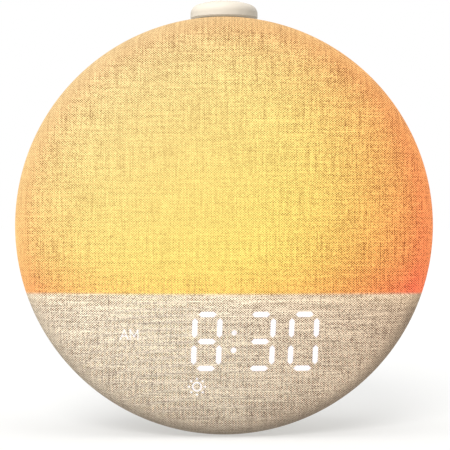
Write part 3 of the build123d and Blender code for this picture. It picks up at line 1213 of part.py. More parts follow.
def make_main_board():
    """Main board with its chips, radio module, capacitors and plugs."""
    board = block((-MAIN_X, MAIN_X), (MAIN_FACE, MAIN_BACK), (MAIN_UNDER, -MAIN_BOARD_TOP))
    for x, z in MAIN_SCREWS:
        board -= rod_y(x, z, M2[0] + SCREW_FIT, MAIN_FACE - PAST, MAIN_BACK + PAST)
    keep("main_board", board)
    chips = [rear_box(x, MAIN_MIDDLE + rise, *size) for x, rise, *size in CHIPS]
    keep("board_chips", group(chips))
    radio_x, radio_rise, *radio_size = RADIO
    keep("radio_module", rear_box(radio_x, MAIN_MIDDLE + radio_rise, *radio_size))
    radius, depth = CAPACITOR
    cans = [rod_y(x, MAIN_MIDDLE + rise, radius, MAIN_BACK, MAIN_BACK + depth) for x, rise in CAPACITORS]
    keep("board_capacitors", group(cans))
    keep("lead_plugs", group(main_plugs() + far_plugs()))
    screws = [facing_back(x, z, MAIN_BACK) * screw(*M2_BOARD) for x, z in MAIN_SCREWS]
    keep("main_board_screws", group(screws))


def make_inlet():
    """Power socket with its contact tongue on a small board, screwed to a shelf of the housing."""
    board_low, board_high = SHELF_TOP, INLET_BOARD_TOP
    half = INLET_BOARD[0] / 2
    back = POCKET_FLOOR - INLET_WALL - SMALL_FIT
    board = block((-half, half), (back - INLET_BOARD[1], back), (board_low, board_high))
    for x, y in INLET_SCREWS:
        board -= rod_z(x, y, M2[0] + SCREW_FIT, board_low - PAST, board_high + PAST)
    keep("inlet_board", board)
    end = POCKET_FLOOR - SMALL_FIT
    begin = end - SOCKET_LENGTH
    level = board_high + SOCKET[1] / 2
    outline = Pos(0, level) * SlotOverall(*SOCKET)
    rear_wall = begin + SOCKET_STEP
    can = along_y(outline, begin, end) - along_y(offset(outline, -SOCKET_SHEET), rear_wall, end + PAST)
    keep("power_socket", can)
    half_width, half_height = (size / 2 for size in SOCKET_TONGUE)
    tongue_depth = (rear_wall, end - SOCKET_STEP)
    tongue = block((-half_width, half_width), tongue_depth, (level - half_height, level + half_height))
    keep("socket_tongue", tongue)
    screws = [Pos(x, y, board_high) * screw(*M2_SHELF) for x, y in INLET_SCREWS]
    keep("inlet_screws", group(screws))


def pair(x, route, radius=LEAD_RADIUS):
    """Two leads side by side, one lead spacing apart along X. The route gives each point's X from x."""
    leads = []
    for shift in (-LEAD_SPACING / 2, LEAD_SPACING / 2):
        leads.append(cable([(x + dx + shift, y, z) for dx, y, z in route], radius))
    return leads


def make_leads():
    """The leads between the boards, each along its own clear way."""
    plug_face = MAIN_BACK + PLUG_DEPTH
    hole = -LEAD_HOLE_DROP
    speaker = [
        (0, TERMINAL_FACE, hole),
        (0, CUP_FRONT + 14, hole),
        (0, CUP_FRONT, hole - 0.8),
        (0, PLUG_LEVEL, (hole + PLUG_TOP) / 2 + 1.7),
        (0, PLUG_LEVEL, PLUG_TOP),
    ]
    keep("speaker_leads", group(pair(0, speaker)))

    level = INLET_BOARD_TOP + PLUG_DEPTH / 2
    inlet = [
        (0, SHELF_FRONT + 1, level),
        (0, SHELF_FRONT - 6, level),
        (0, plug_face + 7, -INLET_DROP - 0.6),
        (0, plug_face, -INLET_DROP - 0.6),
    ]
    keep("inlet_leads", group(pair(0, inlet)))

    row = PLUG_TOP - PLUG_HEIGHT / 2
    across = LED_LEAD_X - LED_PLUG_X
    light = [
        (0, LED_BOARD_BACK + LED_PLUG_DEPTH, LED_PLUG_MIDDLE),
        (0, plug_face + 2.5, LED_PLUG_MIDDLE),
        (across, plug_face + 8, row),
        (across, plug_face, row),
    ]
    keep("light_leads", group(pair(LED_PLUG_X, light)))

    button_end = BUTTON_BOARD_UNDER - BUTTON_PLUG_DEPTH
    button = [
        (0, BUTTON_Y, button_end),
        (0, BUTTON_Y, button_end - 9),
        (3.5, PLUG_LEVEL + 0.9, button_end - 21),
        (BUTTON_PLUG_X - 0.6, PLUG_LEVEL + 0.3, button_end - 43),
        (BUTTON_PLUG_X, PLUG_LEVEL, button_end - 69),
        (BUTTON_PLUG_X, PLUG_LEVEL, PLUG_TOP),
    ]
    keep("button_leads", group(pair(0, button)))

    rocker = []
    for side in (-1, 1):
        frame = rocker_frame(side)
        depth = ROCKER_BOARD_UNDER - ROCKER_PLUG[2]
        start = frame.from_local_coords((0, 0, depth))
        beyond = frame.from_local_coords((0, 0, depth - 11))
        x = side * ROCKER_PLUG_X
        points = [
            tuple(start),
            tuple(beyond),
            (side * (ROCKER_PLUG_X + 9), PLUG_LEVEL + 0.5, beyond.Z - 9),
            (x + side * 0.7, PLUG_LEVEL + 0.4, beyond.Z - 29),
            (x, PLUG_LEVEL, beyond.Z - 58),
            (x, PLUG_LEVEL, PLUG_TOP),
        ]
        rocker.append(cable(points, LEAD_RADIUS + 0.3))
    keep("rocker_leads", group(rocker))

    middle = -DISPLAY_PLUG_DROP - DISPLAY_PLUG[1] / 4
    half = DISPLAY_PLUG[0] / 2 - RIBBON_INSET
    ribbon = block(
        (-half, half),
        (DISPLAY_BACK + FLAT_PLUG, MAIN_FACE - FLAT_PLUG),
        (middle - RIBBON / 2, middle + RIBBON / 2),
    )
    keep("display_ribbon", ribbon)


def make_everything():
    make_cloth()
    make_front_frame()
    make_panels()
    make_light_engine()
    make_display()
    make_chassis()
    make_housing()
    make_speaker()
    make_grille()
    make_button()
    make_rocker("brightness_rocker", -1)
    make_rocker("volume_rocker", 1)
    make_rocker_works()
    make_main_board()
    make_inlet()
    make_leads()


def write_parts():
    os.makedirs("parts", exist_ok=True)
    lift = Pos(0, 0, AXIS_Z)
    for name, shape in sorted(PARTS.items()):
        export_step(lift * shape, f"parts/{name}.step")


make_everything()
write_parts()
print(len(PARTS), "sub-parts; axis at Z =", round(AXIS_Z, 3))
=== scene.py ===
# %% [markdown]
# # A sunrise alarm clock
#
# The clock is a round body with one shallow dome of woven cloth for a face. Lamps shine through the upper
# part of the cloth and digits through the lower part, and one large button stands on top. The hard parts
# come from the frame at their real size. This lesson gives them their finishes, makes the cloth as a sheet
# of its own, adds the raised signs of the side keys and a wound spring, and sets the clock on a pale floor
# in soft light.

# %% Load the frame
import json
import math

import bmesh
import bpy
from mathutils import Matrix, Vector
from mathutils.bvhtree import BVHTree


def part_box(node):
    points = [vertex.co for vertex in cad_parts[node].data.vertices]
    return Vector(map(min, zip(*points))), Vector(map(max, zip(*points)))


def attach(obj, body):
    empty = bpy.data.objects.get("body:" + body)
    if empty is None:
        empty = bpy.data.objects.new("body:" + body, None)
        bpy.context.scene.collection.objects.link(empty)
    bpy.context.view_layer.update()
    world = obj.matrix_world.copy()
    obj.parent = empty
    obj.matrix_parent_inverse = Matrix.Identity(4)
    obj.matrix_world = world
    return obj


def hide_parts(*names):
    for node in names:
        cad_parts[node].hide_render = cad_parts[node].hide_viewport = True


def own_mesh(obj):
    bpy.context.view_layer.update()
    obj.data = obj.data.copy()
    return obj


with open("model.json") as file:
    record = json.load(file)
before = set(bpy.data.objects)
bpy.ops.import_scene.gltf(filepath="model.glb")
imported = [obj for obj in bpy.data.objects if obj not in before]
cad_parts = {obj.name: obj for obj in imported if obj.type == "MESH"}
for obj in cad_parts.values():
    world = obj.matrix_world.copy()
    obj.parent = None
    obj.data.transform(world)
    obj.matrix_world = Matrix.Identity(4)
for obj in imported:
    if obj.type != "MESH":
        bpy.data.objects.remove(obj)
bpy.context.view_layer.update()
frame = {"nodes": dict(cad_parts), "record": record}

# %% [markdown]
# Every length below is in metres, as Blender wants it, so a small helper turns millimetres into metres. The
# main sizes are read off the frame's own boxes: the disc's radius and middle from the cloth cover, and so
# on. Sizes that a box can't give, such as the radius of the dome, are named here once.

# %% Sizes of the clock
MM = 0.001


def span(node):
    """A node's lowest and highest corner, and its middle."""
    low, high = (Vector(corner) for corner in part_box(node))
    return low, high, (low + high) / 2


cloth_low, cloth_high, cloth_middle = span("cloth_cover")
DISC_RADIUS = (cloth_high.x - cloth_low.x) / 2
DISC_Z = cloth_middle.z
FACE_Y = cloth_low.y
CLOTH_END_Y = cloth_high.y
DOME_RADIUS = 290 * MM
EDGE_ROLL = 7 * MM
CLOTH = 0.8 * MM
HEM_WIDTH = 2.7 * MM
print(f"disc {DISC_RADIUS * 2:.4f} m across, {CLOTH_END_Y - FACE_Y:.4f} m of cloth deep")

# %% [markdown]
# Clicking nodes together by hand is slow to read back, so materials are written as formulas. `Wire` wraps
# one output socket. Adding, multiplying or subtracting wires adds the Math nodes, in either order, so
# `1 - mask` works as it does on paper.


# %% Wires
class Wire:
    """One value on its way through a material."""

    def __init__(self, finish, socket):
        self.finish, self.socket = finish, socket

    def maths(self, operation, *others, clamp=False):
        settings = {"operation": operation, "use_clamp": clamp}
        return self.finish.node("ShaderNodeMath", settings, dict(enumerate((self, *others))))

    def __add__(self, other):
        return self.maths("ADD", other)

    __radd__ = __add__

    def __sub__(self, other):
        return self.maths("SUBTRACT", other)

    def __rsub__(self, other):
        return self * -1.0 + other

    def __mul__(self, other):
        return self.maths("MULTIPLY", other)

    __rmul__ = __mul__

    def __truediv__(self, other):
        return self.maths("DIVIDE", other)

    def __abs__(self):
        return self.maths("ABSOLUTE")

    def power(self, exponent):
        return self.maths("POWER", exponent)

    def clamped(self):
        return self.maths("ADD", 0.0, clamp=True)

    def highest(self, other):
        return self.maths("MAXIMUM", other)

    def ease(self, start, stop):
        """0 before start, 1 after stop, and a smooth way between them; it also runs downwards."""
        settings = {"interpolation_type": "SMOOTHSTEP"}
        low, high = (start, stop) if start < stop else (stop, start)
        sockets = {"Value": self, "From Min": low, "From Max": high}
        risen = self.finish.node("ShaderNodeMapRange", settings, sockets)
        return risen if start < stop else 1 - risen


def distance(x, z):
    """How far the place (x, z) lies from (0, 0)."""
    return (x * x + z * z).power(0.5)


print("wires ready")

# %% [markdown]
# `Finish` owns one material. Its `node` method adds any other node, first its settings and then its sockets,
# and `mix` blends two colours through a Mix node, because a Math node would turn a colour grey. A colour is
# easiest to judge as a screen shows it, but a shader takes it in linear light, so `linear` converts it.


# %% Finishes
def linear(*srgb):
    """A colour as a screen shows it, 0 to 255, as the linear colour that a shader takes."""
    shares = [value / 255 for value in srgb]
    return tuple(s / 12.92 if s < 0.04045 else ((s + 0.055) / 1.055) ** 2.4 for s in shares) + (1.0,)


def shaded(colour, share):
    """A linear colour made darker or lighter."""
    return tuple(min(1.0, channel * share) for channel in colour[:3]) + (1.0,)


class Finish:
    """One material with its Principled shader, built by formulas."""

    def __init__(self, name, **constants):
        self.material = bpy.data.materials.new(name)
        self.material.use_nodes = True
        self.tree = self.material.node_tree
        self.shader = self.tree.nodes["Principled BSDF"]
        for socket, value in constants.items():
            self.shader.inputs[socket.replace("_", " ")].default_value = value

    def node(self, kind, settings=None, inputs=None, output=0):
        """Adds a node of a kind and gives the wire of one of its outputs."""
        made = self.tree.nodes.new(kind)
        for setting, value in (settings or {}).items():
            setattr(made, setting, value)
        for socket, value in (inputs or {}).items():
            if isinstance(value, Wire):
                self.tree.links.new(value.socket, made.inputs[socket])
            else:
                made.inputs[socket].default_value = value
        return Wire(self, made.outputs[output])

    def feed(self, socket, wire):
        """Links a wire to a socket of the shader."""
        self.tree.links.new(wire.socket, self.shader.inputs[socket])

    def mix(self, factor, first, second, blend="MIX"):
        """Blends two colours: the first at factor 0, the second at 1."""
        settings = {"data_type": "RGBA", "blend_type": blend}
        return self.node("ShaderNodeMix", settings, {0: factor, 6: first, 7: second}, output=2)

    def axes(self, centre=(0, 0, 0)):
        """X, Y and Z of the object's own coordinates, about a centre."""
        place = self.node("ShaderNodeTexCoord", output="Object")
        place = self.node("ShaderNodeVectorMath", {"operation": "SUBTRACT"}, {0: place, 1: centre})
        return [self.node("ShaderNodeSeparateXYZ", None, {0: place}, output=i) for i in range(3)]

    def vector(self, x, y, z):
        return self.node("ShaderNodeCombineXYZ", None, {0: x, 1: y, 2: z})

    def noise(self, where, scale=1.0, detail=2.0, roughness=0.5):
        sockets = {"Vector": where, "Scale": scale, "Detail": detail, "Roughness": roughness}
        return self.node("ShaderNodeTexNoise", {"noise_dimensions": "3D"}, sockets)

    def bump(self, height, distance):
        sockets = {"Height": height, "Distance": distance}
        self.feed("Normal", self.node("ShaderNodeBump", None, sockets))


print("finishes can be made")

# %% [markdown]
# The cloth is one sheet, stretched over the frame: a shallow dome, a roll of 7 mm over the edge, a short
# side, and a hem that is turned in behind. A lathe shape like this could be a curve with a Screw modifier.
# Here its outline is a short chain of points that a full spin turns about the disc's axis, because a spin
# also lets each ring of points keep its distance along the cloth, which the weave needs later.

# %% The outline of the cloth
DOME_STEPS = 44
ROLL_STEPS = 14
SIDE_STEPS = 6
FOLD_STEPS = 6
FOLD_RADIUS = CLOTH * 1.2


def arc_points(centre, radius, start, stop, steps):
    """Points of an arc in (distance from the axis, Y), with angles counted from -Y."""
    turns = [start + (stop - start) * step / steps for step in range(steps + 1)]
    return [(centre[0] + radius * math.sin(t), centre[1] - radius * math.cos(t)) for t in turns]


def cloth_outline():
    """From the middle of the dome to the end of the hem."""
    across = DISC_RADIUS - EDGE_ROLL
    apart = math.sqrt((DOME_RADIUS - EDGE_ROLL) ** 2 - across**2)
    meeting = math.atan2(across, apart)
    dome_centre = (0.0, FACE_Y + DOME_RADIUS)
    roll_centre = (across, dome_centre[1] - apart)
    fold_centre = (DISC_RADIUS - FOLD_RADIUS, CLOTH_END_Y - FOLD_RADIUS)
    dome = arc_points(dome_centre, DOME_RADIUS, 0, meeting, DOME_STEPS)
    roll = arc_points(roll_centre, EDGE_ROLL, meeting, math.pi / 2, ROLL_STEPS)
    fold = arc_points(fold_centre, FOLD_RADIUS, math.pi / 2, math.pi, FOLD_STEPS)
    side_start = roll[-1][1]
    side_step = (fold[0][1] - side_start) / SIDE_STEPS
    side = [(DISC_RADIUS, side_start + side_step * step) for step in range(1, SIDE_STEPS)]
    hem = [(DISC_RADIUS - HEM_WIDTH, CLOTH_END_Y)]
    return dome + roll[1:] + side + fold + hem


outline = cloth_outline()
lengths = [0.0]
for before, after in zip(outline, outline[1:]):
    lengths.append(lengths[-1] + math.dist(before, after))

# %% [markdown]
# Spinning those points makes the sheet. A weave has to follow the cloth, over the edge and down the side, so
# the sheet gets a UV map in real metres: each point lies as far from the middle of the map as it does along
# the cloth. A flat projection from the front would be simpler, but it would smear the threads over the
# rolled edge.

# %% Tools for the cloth
SAME_PLACE = 1e-6


def spun(points, centre, steps):
    """Turns points of (distance from the axis, Y) into a closed lathe shape about a line along Y."""
    shape = bmesh.new()
    chain = [shape.verts.new(Vector(centre) + Vector((r, y, 0))) for r, y in points]
    edges = [shape.edges.new(pair) for pair in zip(chain, chain[1:])]
    bmesh.ops.spin(
        shape,
        geom=chain + edges,
        cent=centre,
        axis=(0, 1, 0),
        angle=math.tau,
        steps=steps,
        use_merge=True,
    )
    bmesh.ops.remove_doubles(shape, verts=shape.verts, dist=SAME_PLACE)
    bmesh.ops.recalc_face_normals(shape, faces=shape.faces)
    return shape


def length_at(radius, y):
    """How far along the cloth the outline's point nearest to this radius and Y lies."""
    gaps = [abs(r - radius) + abs(place - y) for r, place in outline]
    return lengths[gaps.index(min(gaps))]


def lay_cloth_map(shape):
    """Adds the UV map that measures the cloth from its middle, in metres."""
    layer = shape.loops.layers.uv.new("cloth")
    for vert in shape.verts:
        x, y, z = vert.co - Vector((0, 0, DISC_Z))
        length = length_at(math.hypot(x, z), y)
        turn = math.atan2(z, x)
        for loop in vert.link_loops:
            loop[layer].uv = (length * math.cos(turn), length * math.sin(turn))


def finished(name, shape, body="clock_body"):
    """Turns a bmesh into a piece that rides on a body."""
    mesh = bpy.data.meshes.new(name)
    shape.to_mesh(mesh)
    shape.free()
    piece = bpy.data.objects.new(name, mesh)
    bpy.context.scene.collection.objects.link(piece)
    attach(piece, body)
    return piece


print("tools for the cloth ready")

# %% [markdown]
# The cloth cover on the real clock is one layer of linen. Its outer skin is spun, and a Solidify modifier
# gives it its thickness inwards, so the outside keeps its size. A spin can turn a shape inside out, so the
# face that lies foremost is asked which way it looks.

# %% The linen cover
ROUND_STEPS = 192
LINEN_THICKNESS = CLOTH * 0.9

cloth_shape = spun(outline, (0, 0, DISC_Z), ROUND_STEPS)
lay_cloth_map(cloth_shape)
foremost = min(cloth_shape.faces, key=lambda face: face.calc_center_median().y)
if foremost.normal.y > 0:
    bmesh.ops.reverse_faces(cloth_shape, faces=cloth_shape.faces)
linen_cover = finished("linen_cover", cloth_shape)
linen_cover.data.shade_smooth()
thickness = linen_cover.modifiers.new("thickness", "SOLIDIFY")
thickness.thickness = LINEN_THICKNESS
thickness.offset = -1.0
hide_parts("cloth_cover")
print(len(linen_cover.data.polygons), "faces of cloth")

# %% [markdown]
# Cut flat, the cloth is a disc that reaches from its middle to the hem all round. Its threads pull together
# a little where it goes over the edge, so the shape has slightly less area than the flat cut.

# %% [markdown]
# Plain weave is the simplest cloth there is: each thread goes over one and under the next, so the surface is
# a checkerboard of little crowns. The product of two cosines has just that pattern, positive where an
# upright thread lies on top and negative where a level one does. Linen yarn is uneven. Noise drawn out along
# the threads makes them wander a little and gives each one light and dark places, which show mostly where
# that thread is on top. Noise is counted in waves to the metre, and the third number of each place picks
# another slice of it, so that no two look alike.

# %% Weave
WARP_PITCH = 0.562 * MM
WEFT_PITCH = 0.493 * MM
WANDER = 0.2 * MM
WANDER_ALONG, WANDER_ACROSS = 70.0, 160.0
YARN_ALONG, LEVEL_ACROSS, UPRIGHT_ACROSS = 55.0, 2300.0, 2200.0
UPRIGHT_TONE, LEVEL_TONE, HIDDEN_TONE = 1.15, 1.25, 0.15
YARN_NOISE = {"detail": 1.5, "roughness": 0.6}


def weave(finish, u, v):
    """Crowns of a plain weave, -1 to 1; tone of the yarn on top; how far upright yarn outshines level."""
    aside_u = finish.noise(finish.vector(u * WANDER_ACROSS, v * WANDER_ALONG, 5.1)) - 0.5
    aside_v = finish.noise(finish.vector(u * WANDER_ALONG, v * WANDER_ACROSS, 2.2)) - 0.5
    warp = ((u + aside_u * WANDER) * (math.pi / WARP_PITCH)).maths("COSINE")
    weft = ((v + aside_v * WANDER) * (math.pi / WEFT_PITCH)).maths("COSINE")
    crown = warp * weft
    level = finish.noise(finish.vector(u * YARN_ALONG, v * LEVEL_ACROSS, 3.7), **YARN_NOISE) - 0.5
    upright = finish.noise(finish.vector(u * UPRIGHT_ACROSS, v * YARN_ALONG, 8.1), **YARN_NOISE) - 0.5
    on_top = (crown * 2.0 + 0.5).clamped()
    yarn = upright * on_top * UPRIGHT_TONE + level * (1 - on_top) * LEVEL_TONE
    return crown, yarn + (level + upright) * HIDDEN_TONE, upright - level


print(f"{1 / WARP_PITCH:.0f} by {1 / WEFT_PITCH:.0f} threads to the metre")

# %% [markdown]
# The next lengths place what shines through the cloth: the level bar that parts the glow from the bare
# linen, the digits and the colon. Drops are measured down from the middle of the disc. Each digit is built
# from bars with pointed ends, as a seven-bar display has, and leans a little to the right. An image texture
# could hold the digits, but masks made by formulas stay sharp at any distance.

# %% Digits
DIVIDER_DROP = 28.3 * MM
DIGIT_ROW_DROP = 47.9 * MM
DIGIT_HALF = 11.25 * MM
DIGIT_ACROSS = 5.15 * MM
DIGIT_SLANT = math.tan(math.radians(2.2))
DIGIT_CENTRES = {"eight": -7.1 * MM, "three": 14.9 * MM, "nought": 32.9 * MM}
LEVEL_BAR = (7.3 * MM, 2.15 * MM)
UPRIGHT_BAR = (8.0 * MM, 2.1 * MM)
BAR_POINT = 0.7
SOFT = 0.34 * MM


def bar_mask(x, z, length, thickness):
    """A bar with pointed ends, about (0, 0), lying along x."""
    body = abs(z) - thickness / 2
    points = abs(x) + abs(z) - length / 2
    return body.highest(points * BAR_POINT).ease(SOFT, -SOFT)


def digit_mask(x, z, shown):
    """The bars of a digit about its middle: folding x and z makes one bar stand for its mirror images."""
    folded_z = abs(z)
    side = x if shown == "three" else abs(x)
    mask = bar_mask(x, folded_z - DIGIT_HALF, *LEVEL_BAR)
    mask = mask + bar_mask(folded_z - DIGIT_HALF / 2, side - DIGIT_ACROSS, *UPRIGHT_BAR)
    if shown != "nought":
        mask = mask + bar_mask(x, z, *LEVEL_BAR)
    return mask


print(f"digits {DIGIT_HALF * 2 + LEVEL_BAR[1]:.4f} m high")

# %% [markdown]
# The morning mark is two plain capital letters, drawn as pen strokes in a box of the mark's height. The sun
# sign is a ring with eight dots: folding the angle round the ring into one eighth of a turn makes one dot
# stand for all eight.

# %% Signs that shine through the cloth
MARK_HEIGHT = 3.8 * MM
MARK_PEN = 0.42 * MM
LETTER_WIDTH = MARK_HEIGHT * 0.84
A_MIDDLE, M_MIDDLE = -2.1 * MM, 2.0 * MM
A_BAR_HEIGHT, A_BAR_REACH, M_DIP = -0.3, 0.55, -0.4
SUN_RING = 1.77 * MM
SUN_LINE = 0.27 * MM
SUN_DOT_CIRCLE = 3.33 * MM
SUN_DOT = 0.4 * MM


def stroke_mask(x, z, start, stop, width):
    """A straight pen stroke from start to stop, with round ends."""
    run = Vector(stop) - Vector(start)
    along = ((x - start[0]) * run.x + (z - start[1]) * run.y) / run.length_squared
    along = along.clamped()
    away = distance(x - start[0] - along * run.x, z - start[1] - along * run.y)
    return away.ease(width / 2 + SOFT, width / 2 - SOFT)


def morning_mark(x, z):
    """The letters A and M about the mark's middle."""
    high, wide = MARK_HEIGHT / 2, LETTER_WIDTH / 2
    bar = wide * A_BAR_REACH
    strokes = [
        ((A_MIDDLE - wide, -high), (A_MIDDLE, high)),
        ((A_MIDDLE + wide, -high), (A_MIDDLE, high)),
        ((A_MIDDLE - bar, high * A_BAR_HEIGHT), (A_MIDDLE + bar, high * A_BAR_HEIGHT)),
        ((M_MIDDLE - wide, -high), (M_MIDDLE - wide, high)),
        ((M_MIDDLE + wide, -high), (M_MIDDLE + wide, high)),
        ((M_MIDDLE - wide, high), (M_MIDDLE, high * M_DIP)),
        ((M_MIDDLE + wide, high), (M_MIDDLE, high * M_DIP)),
    ]
    mask = 0.0
    for start, stop in strokes:
        mask = stroke_mask(x, z, start, stop, MARK_PEN) + mask
    return mask.clamped()


def sun_sign(x, z):
    """A ring with eight dots round it."""
    away = distance(x, z)
    ring = abs(away - SUN_RING).ease(SUN_LINE + SOFT, SUN_LINE - SOFT)
    eighth = math.tau / 8
    folded = z.maths("ARCTAN2", x).maths("PINGPONG", eighth / 2)
    dot_x = away * folded.maths("COSINE") - SUN_DOT_CIRCLE
    dot_z = away * folded.maths("SINE")
    dot = distance(dot_x, dot_z).ease(SUN_DOT + SOFT, SUN_DOT - SOFT)
    return (ring + dot).clamped()


print("morning mark and sun sign ready")

# %% [markdown]
# Now the display is put together: half past eight in the morning. The digits lean together, about the middle
# of their row. The lower dot of the colon is brighter than the upper one, and the morning mark is fainter
# than the digits, as small lamps behind thick cloth are.

# %% The display
COLON_X = 4.1 * MM
COLON_STEP = 7.3 * MM
COLON_DOT = 1.12 * MM
COLON_BRIGHT, COLON_UPPER_LOSS = 0.95, 0.25
MORNING_MARK = (-39.2 * MM, -45.2 * MM)
MORNING_BRIGHT = 0.75
SUN_SIGN = (-11.2 * MM, -66.9 * MM)
SUN_BRIGHT = 0.95


def display_mask(x, z):
    """All that the display shows, from 0 to 1."""
    row = z + DIGIT_ROW_DROP
    leaned = x - row * DIGIT_SLANT
    mask = 0.0
    for shown, centre in DIGIT_CENTRES.items():
        mask = digit_mask(leaned - centre, row, shown) + mask
    dots = distance(leaned - COLON_X, abs(row) - COLON_STEP / 2).ease(COLON_DOT + SOFT, COLON_DOT - SOFT)
    mask = mask + dots * (COLON_BRIGHT - row.ease(-1 * MM, 1 * MM) * COLON_UPPER_LOSS)
    mark = morning_mark(x - MORNING_MARK[0], z - MORNING_MARK[1]) * MORNING_BRIGHT
    sun = sun_sign(x - SUN_SIGN[0], z - SUN_SIGN[1]) * SUN_BRIGHT
    return (mask + mark + sun).clamped()


print("display shows", ", ".join(DIGIT_CENTRES))

# %% [markdown]
# The glow is yellow in the middle, turns to cream towards the upper left, and to red with the distance from
# the lamps' middle, which lies a little up and to the left. There is some more red just over the bar and
# near the rim, and less of it on the fold, where the cloth turns away. Threads show faintly where the lamps
# are near and strongly where the glow is dim. Places are counted in disc radii, so the same formulas would
# serve a larger clock.

# %% Colours of the glow
GLOW_CORE = linear(247, 221, 110)
GLOW_CREAM = linear(246, 221, 168)
GLOW_RED = linear(236, 72, 72)
CREAM_TILT, CREAM_START, CREAM_RUN = 0.6, 0.89, 2.2
LAMPS_X, LAMPS_Z = -0.19, 0.26
RED_START, RED_END = 0.39, 1.67
BAR_RED, BAR_RED_HEIGHT = 0.09, 0.19
RIM_RED, RIM_START = 0.06, 0.72
FOLD_RED_LOSS, FOLD_START = 0.11, 0.86
NEAR_CONTRAST, FAR_CONTRAST, RED_CONTRAST, HIGH_CONTRAST = 0.22, 0.53, 0.3, 0.12


def glow_colour(finish, across, up):
    """The colour of the lit field, and how strongly the threads show on it."""
    creamy = ((up - across * CREAM_TILT + CREAM_START) / CREAM_RUN).highest(0.0).power(2.0).clamped()
    warm = finish.mix(creamy, GLOW_CORE, GLOW_CREAM)
    away = distance(across - LAMPS_X, up - LAMPS_Z)
    bar = -DIVIDER_DROP / DISC_RADIUS
    over_bar = up.ease(bar + BAR_RED_HEIGHT, bar) * BAR_RED
    outwards = across * across + up * up
    rim = outwards.ease(RIM_START, 1.0) * RIM_RED
    fold = outwards.ease(FOLD_START, 1.0) * FOLD_RED_LOSS
    red = (away.ease(RED_START, RED_END) + over_bar + rim - fold).clamped()
    contrast = away * away * FAR_CONTRAST + red * RED_CONTRAST + up * HIGH_CONTRAST + NEAR_CONTRAST
    return finish.mix(red, warm, GLOW_RED), contrast


print("glow ready")

# %% [markdown]
# The same threads show in two ways. Where no lamp is behind them they are pale and brown, with painted shade
# that makes them warmer and darker towards the right, on the side of the red glow, and darker towards the
# rim and towards the foot. Where the lamps shine they hold back the light. Near the rolled edge their
# pattern calms down, because there the threads are seen so flat that they run together.

# %% Threads, bare and glowing
CROWN_SHARE, YARN_SHARE, SPECK_SHARE, BLOTCH_SHARE = 1.15, 1.85, 1.5, 0.16
YARN_RELIEF = 1.5
SPECKS, BLOTCHES = (1500.0, 1700.0), 60.0
CALM_FROM, CALM_TO, CALM_LOSS = 81 * MM, 86 * MM, 0.6
LINEN_PALE = linear(255, 238, 211)
# Painted shade: the bare cloth is mixed towards this warmer, darker colour on its right side.
LINEN_PAINTED_WARM_SHADE = linear(247, 217, 184)
LINEN_BROWN = linear(86, 58, 40)
LINEN_TONE = 0.71
# Painted shade: the bare cloth is darkened towards the rim and towards its foot.
EDGE_FROM, EDGE_TO, EDGE_PAINTED_SHADE = 68 * MM, 84 * MM, 0.27
FOOT_FROM, FOOT_TO, FOOT_PAINTED_SHADE = -66 * MM, -86 * MM, 0.16
THREAD_SHADE = linear(110, 78, 48)
WHITE = linear(255, 255, 255)
STREAKS, GLOW_TONE, GLOW_TONE_DROP = 0.3, 0.61, 0.08


def linen_threads(finish, u, v, reach):
    """Light and dark of the threads, about 0, the same with upright streaks, and their relief."""
    crown, yarn, streak = weave(finish, u, v)
    speck = finish.noise(finish.vector(u * SPECKS[0], v * SPECKS[1], 4.4), detail=0.0) - 0.5
    blotch = finish.noise(finish.vector(u * BLOTCHES, v * BLOTCHES, 1.3), detail=3.0) - 0.5
    calm = 1 - reach.ease(CALM_FROM, CALM_TO) * CALM_LOSS
    threads = (crown * CROWN_SHARE + yarn * YARN_SHARE + speck * SPECK_SHARE) * calm
    threads = threads + blotch * BLOTCH_SHARE
    return threads, threads + streak * STREAKS, crown + yarn * YARN_RELIEF


def bare_linen(finish, threads, x, z, reach):
    """Cloth with nothing lit behind it."""
    # Painted shade darkens the bare cloth towards the rim and towards its foot.
    painted_shade = 1 - reach.ease(EDGE_FROM, EDGE_TO) * EDGE_PAINTED_SHADE - z.ease(FOOT_FROM, FOOT_TO) * FOOT_PAINTED_SHADE
    tone = ((threads + LINEN_TONE) * painted_shade).clamped()
    # Painted shade makes the bare cloth warmer and darker towards the right.
    pale = finish.mix((x / DISC_RADIUS).clamped(), LINEN_PALE, LINEN_PAINTED_WARM_SHADE)
    return finish.mix(tone, LINEN_BROWN, pale)


def glowing_linen(finish, streaked, x, z):
    """Cloth with the lamps behind it."""
    glow, contrast = glow_colour(finish, x / DISC_RADIUS, z / DISC_RADIUS)
    depth = (streaked * contrast + (GLOW_TONE - z / DISC_RADIUS * GLOW_TONE_DROP)).clamped()
    held_back = finish.mix(depth, THREAD_SHADE, WHITE)
    return finish.mix(1.0, glow, held_back, "MULTIPLY")


print("threads ready")

# %% [markdown]
# Now the cloth itself. Light that comes from behind is emission, and light that falls on the threads is the
# base colour. Where the cloth glows, its base colour is a painted copy of the glow's colour, kept low so the
# lamps win, as they do on a real clock, and round the side of the disc the glow dies away. A little of it
# leaks under the bar.

# %% The linen finish
GLOW_STRENGTH = 1.546
GLOW_EDGE_SOFT = 0.9 * MM
GLOW_SIDE_END, GLOW_SIDE_START = 99 * MM, 91 * MM
# Share of the glow's colour painted into the base colour of the glowing cloth.
PAINTED_GLOW_SHARE = linear(52, 52, 52)
LEAK_DEPTH, LEAK_SHARE = 9 * MM, 0.06
LEAK_COLOUR = linear(255, 226, 170)
BLACK = linear(0, 0, 0)
DIGIT_CLOTH, DIGIT_CLOTH_SHARE = linear(120, 118, 124), 0.7
DIGIT_LIGHT = linear(190, 188, 195)
THREAD_RELIEF = 0.1 * MM


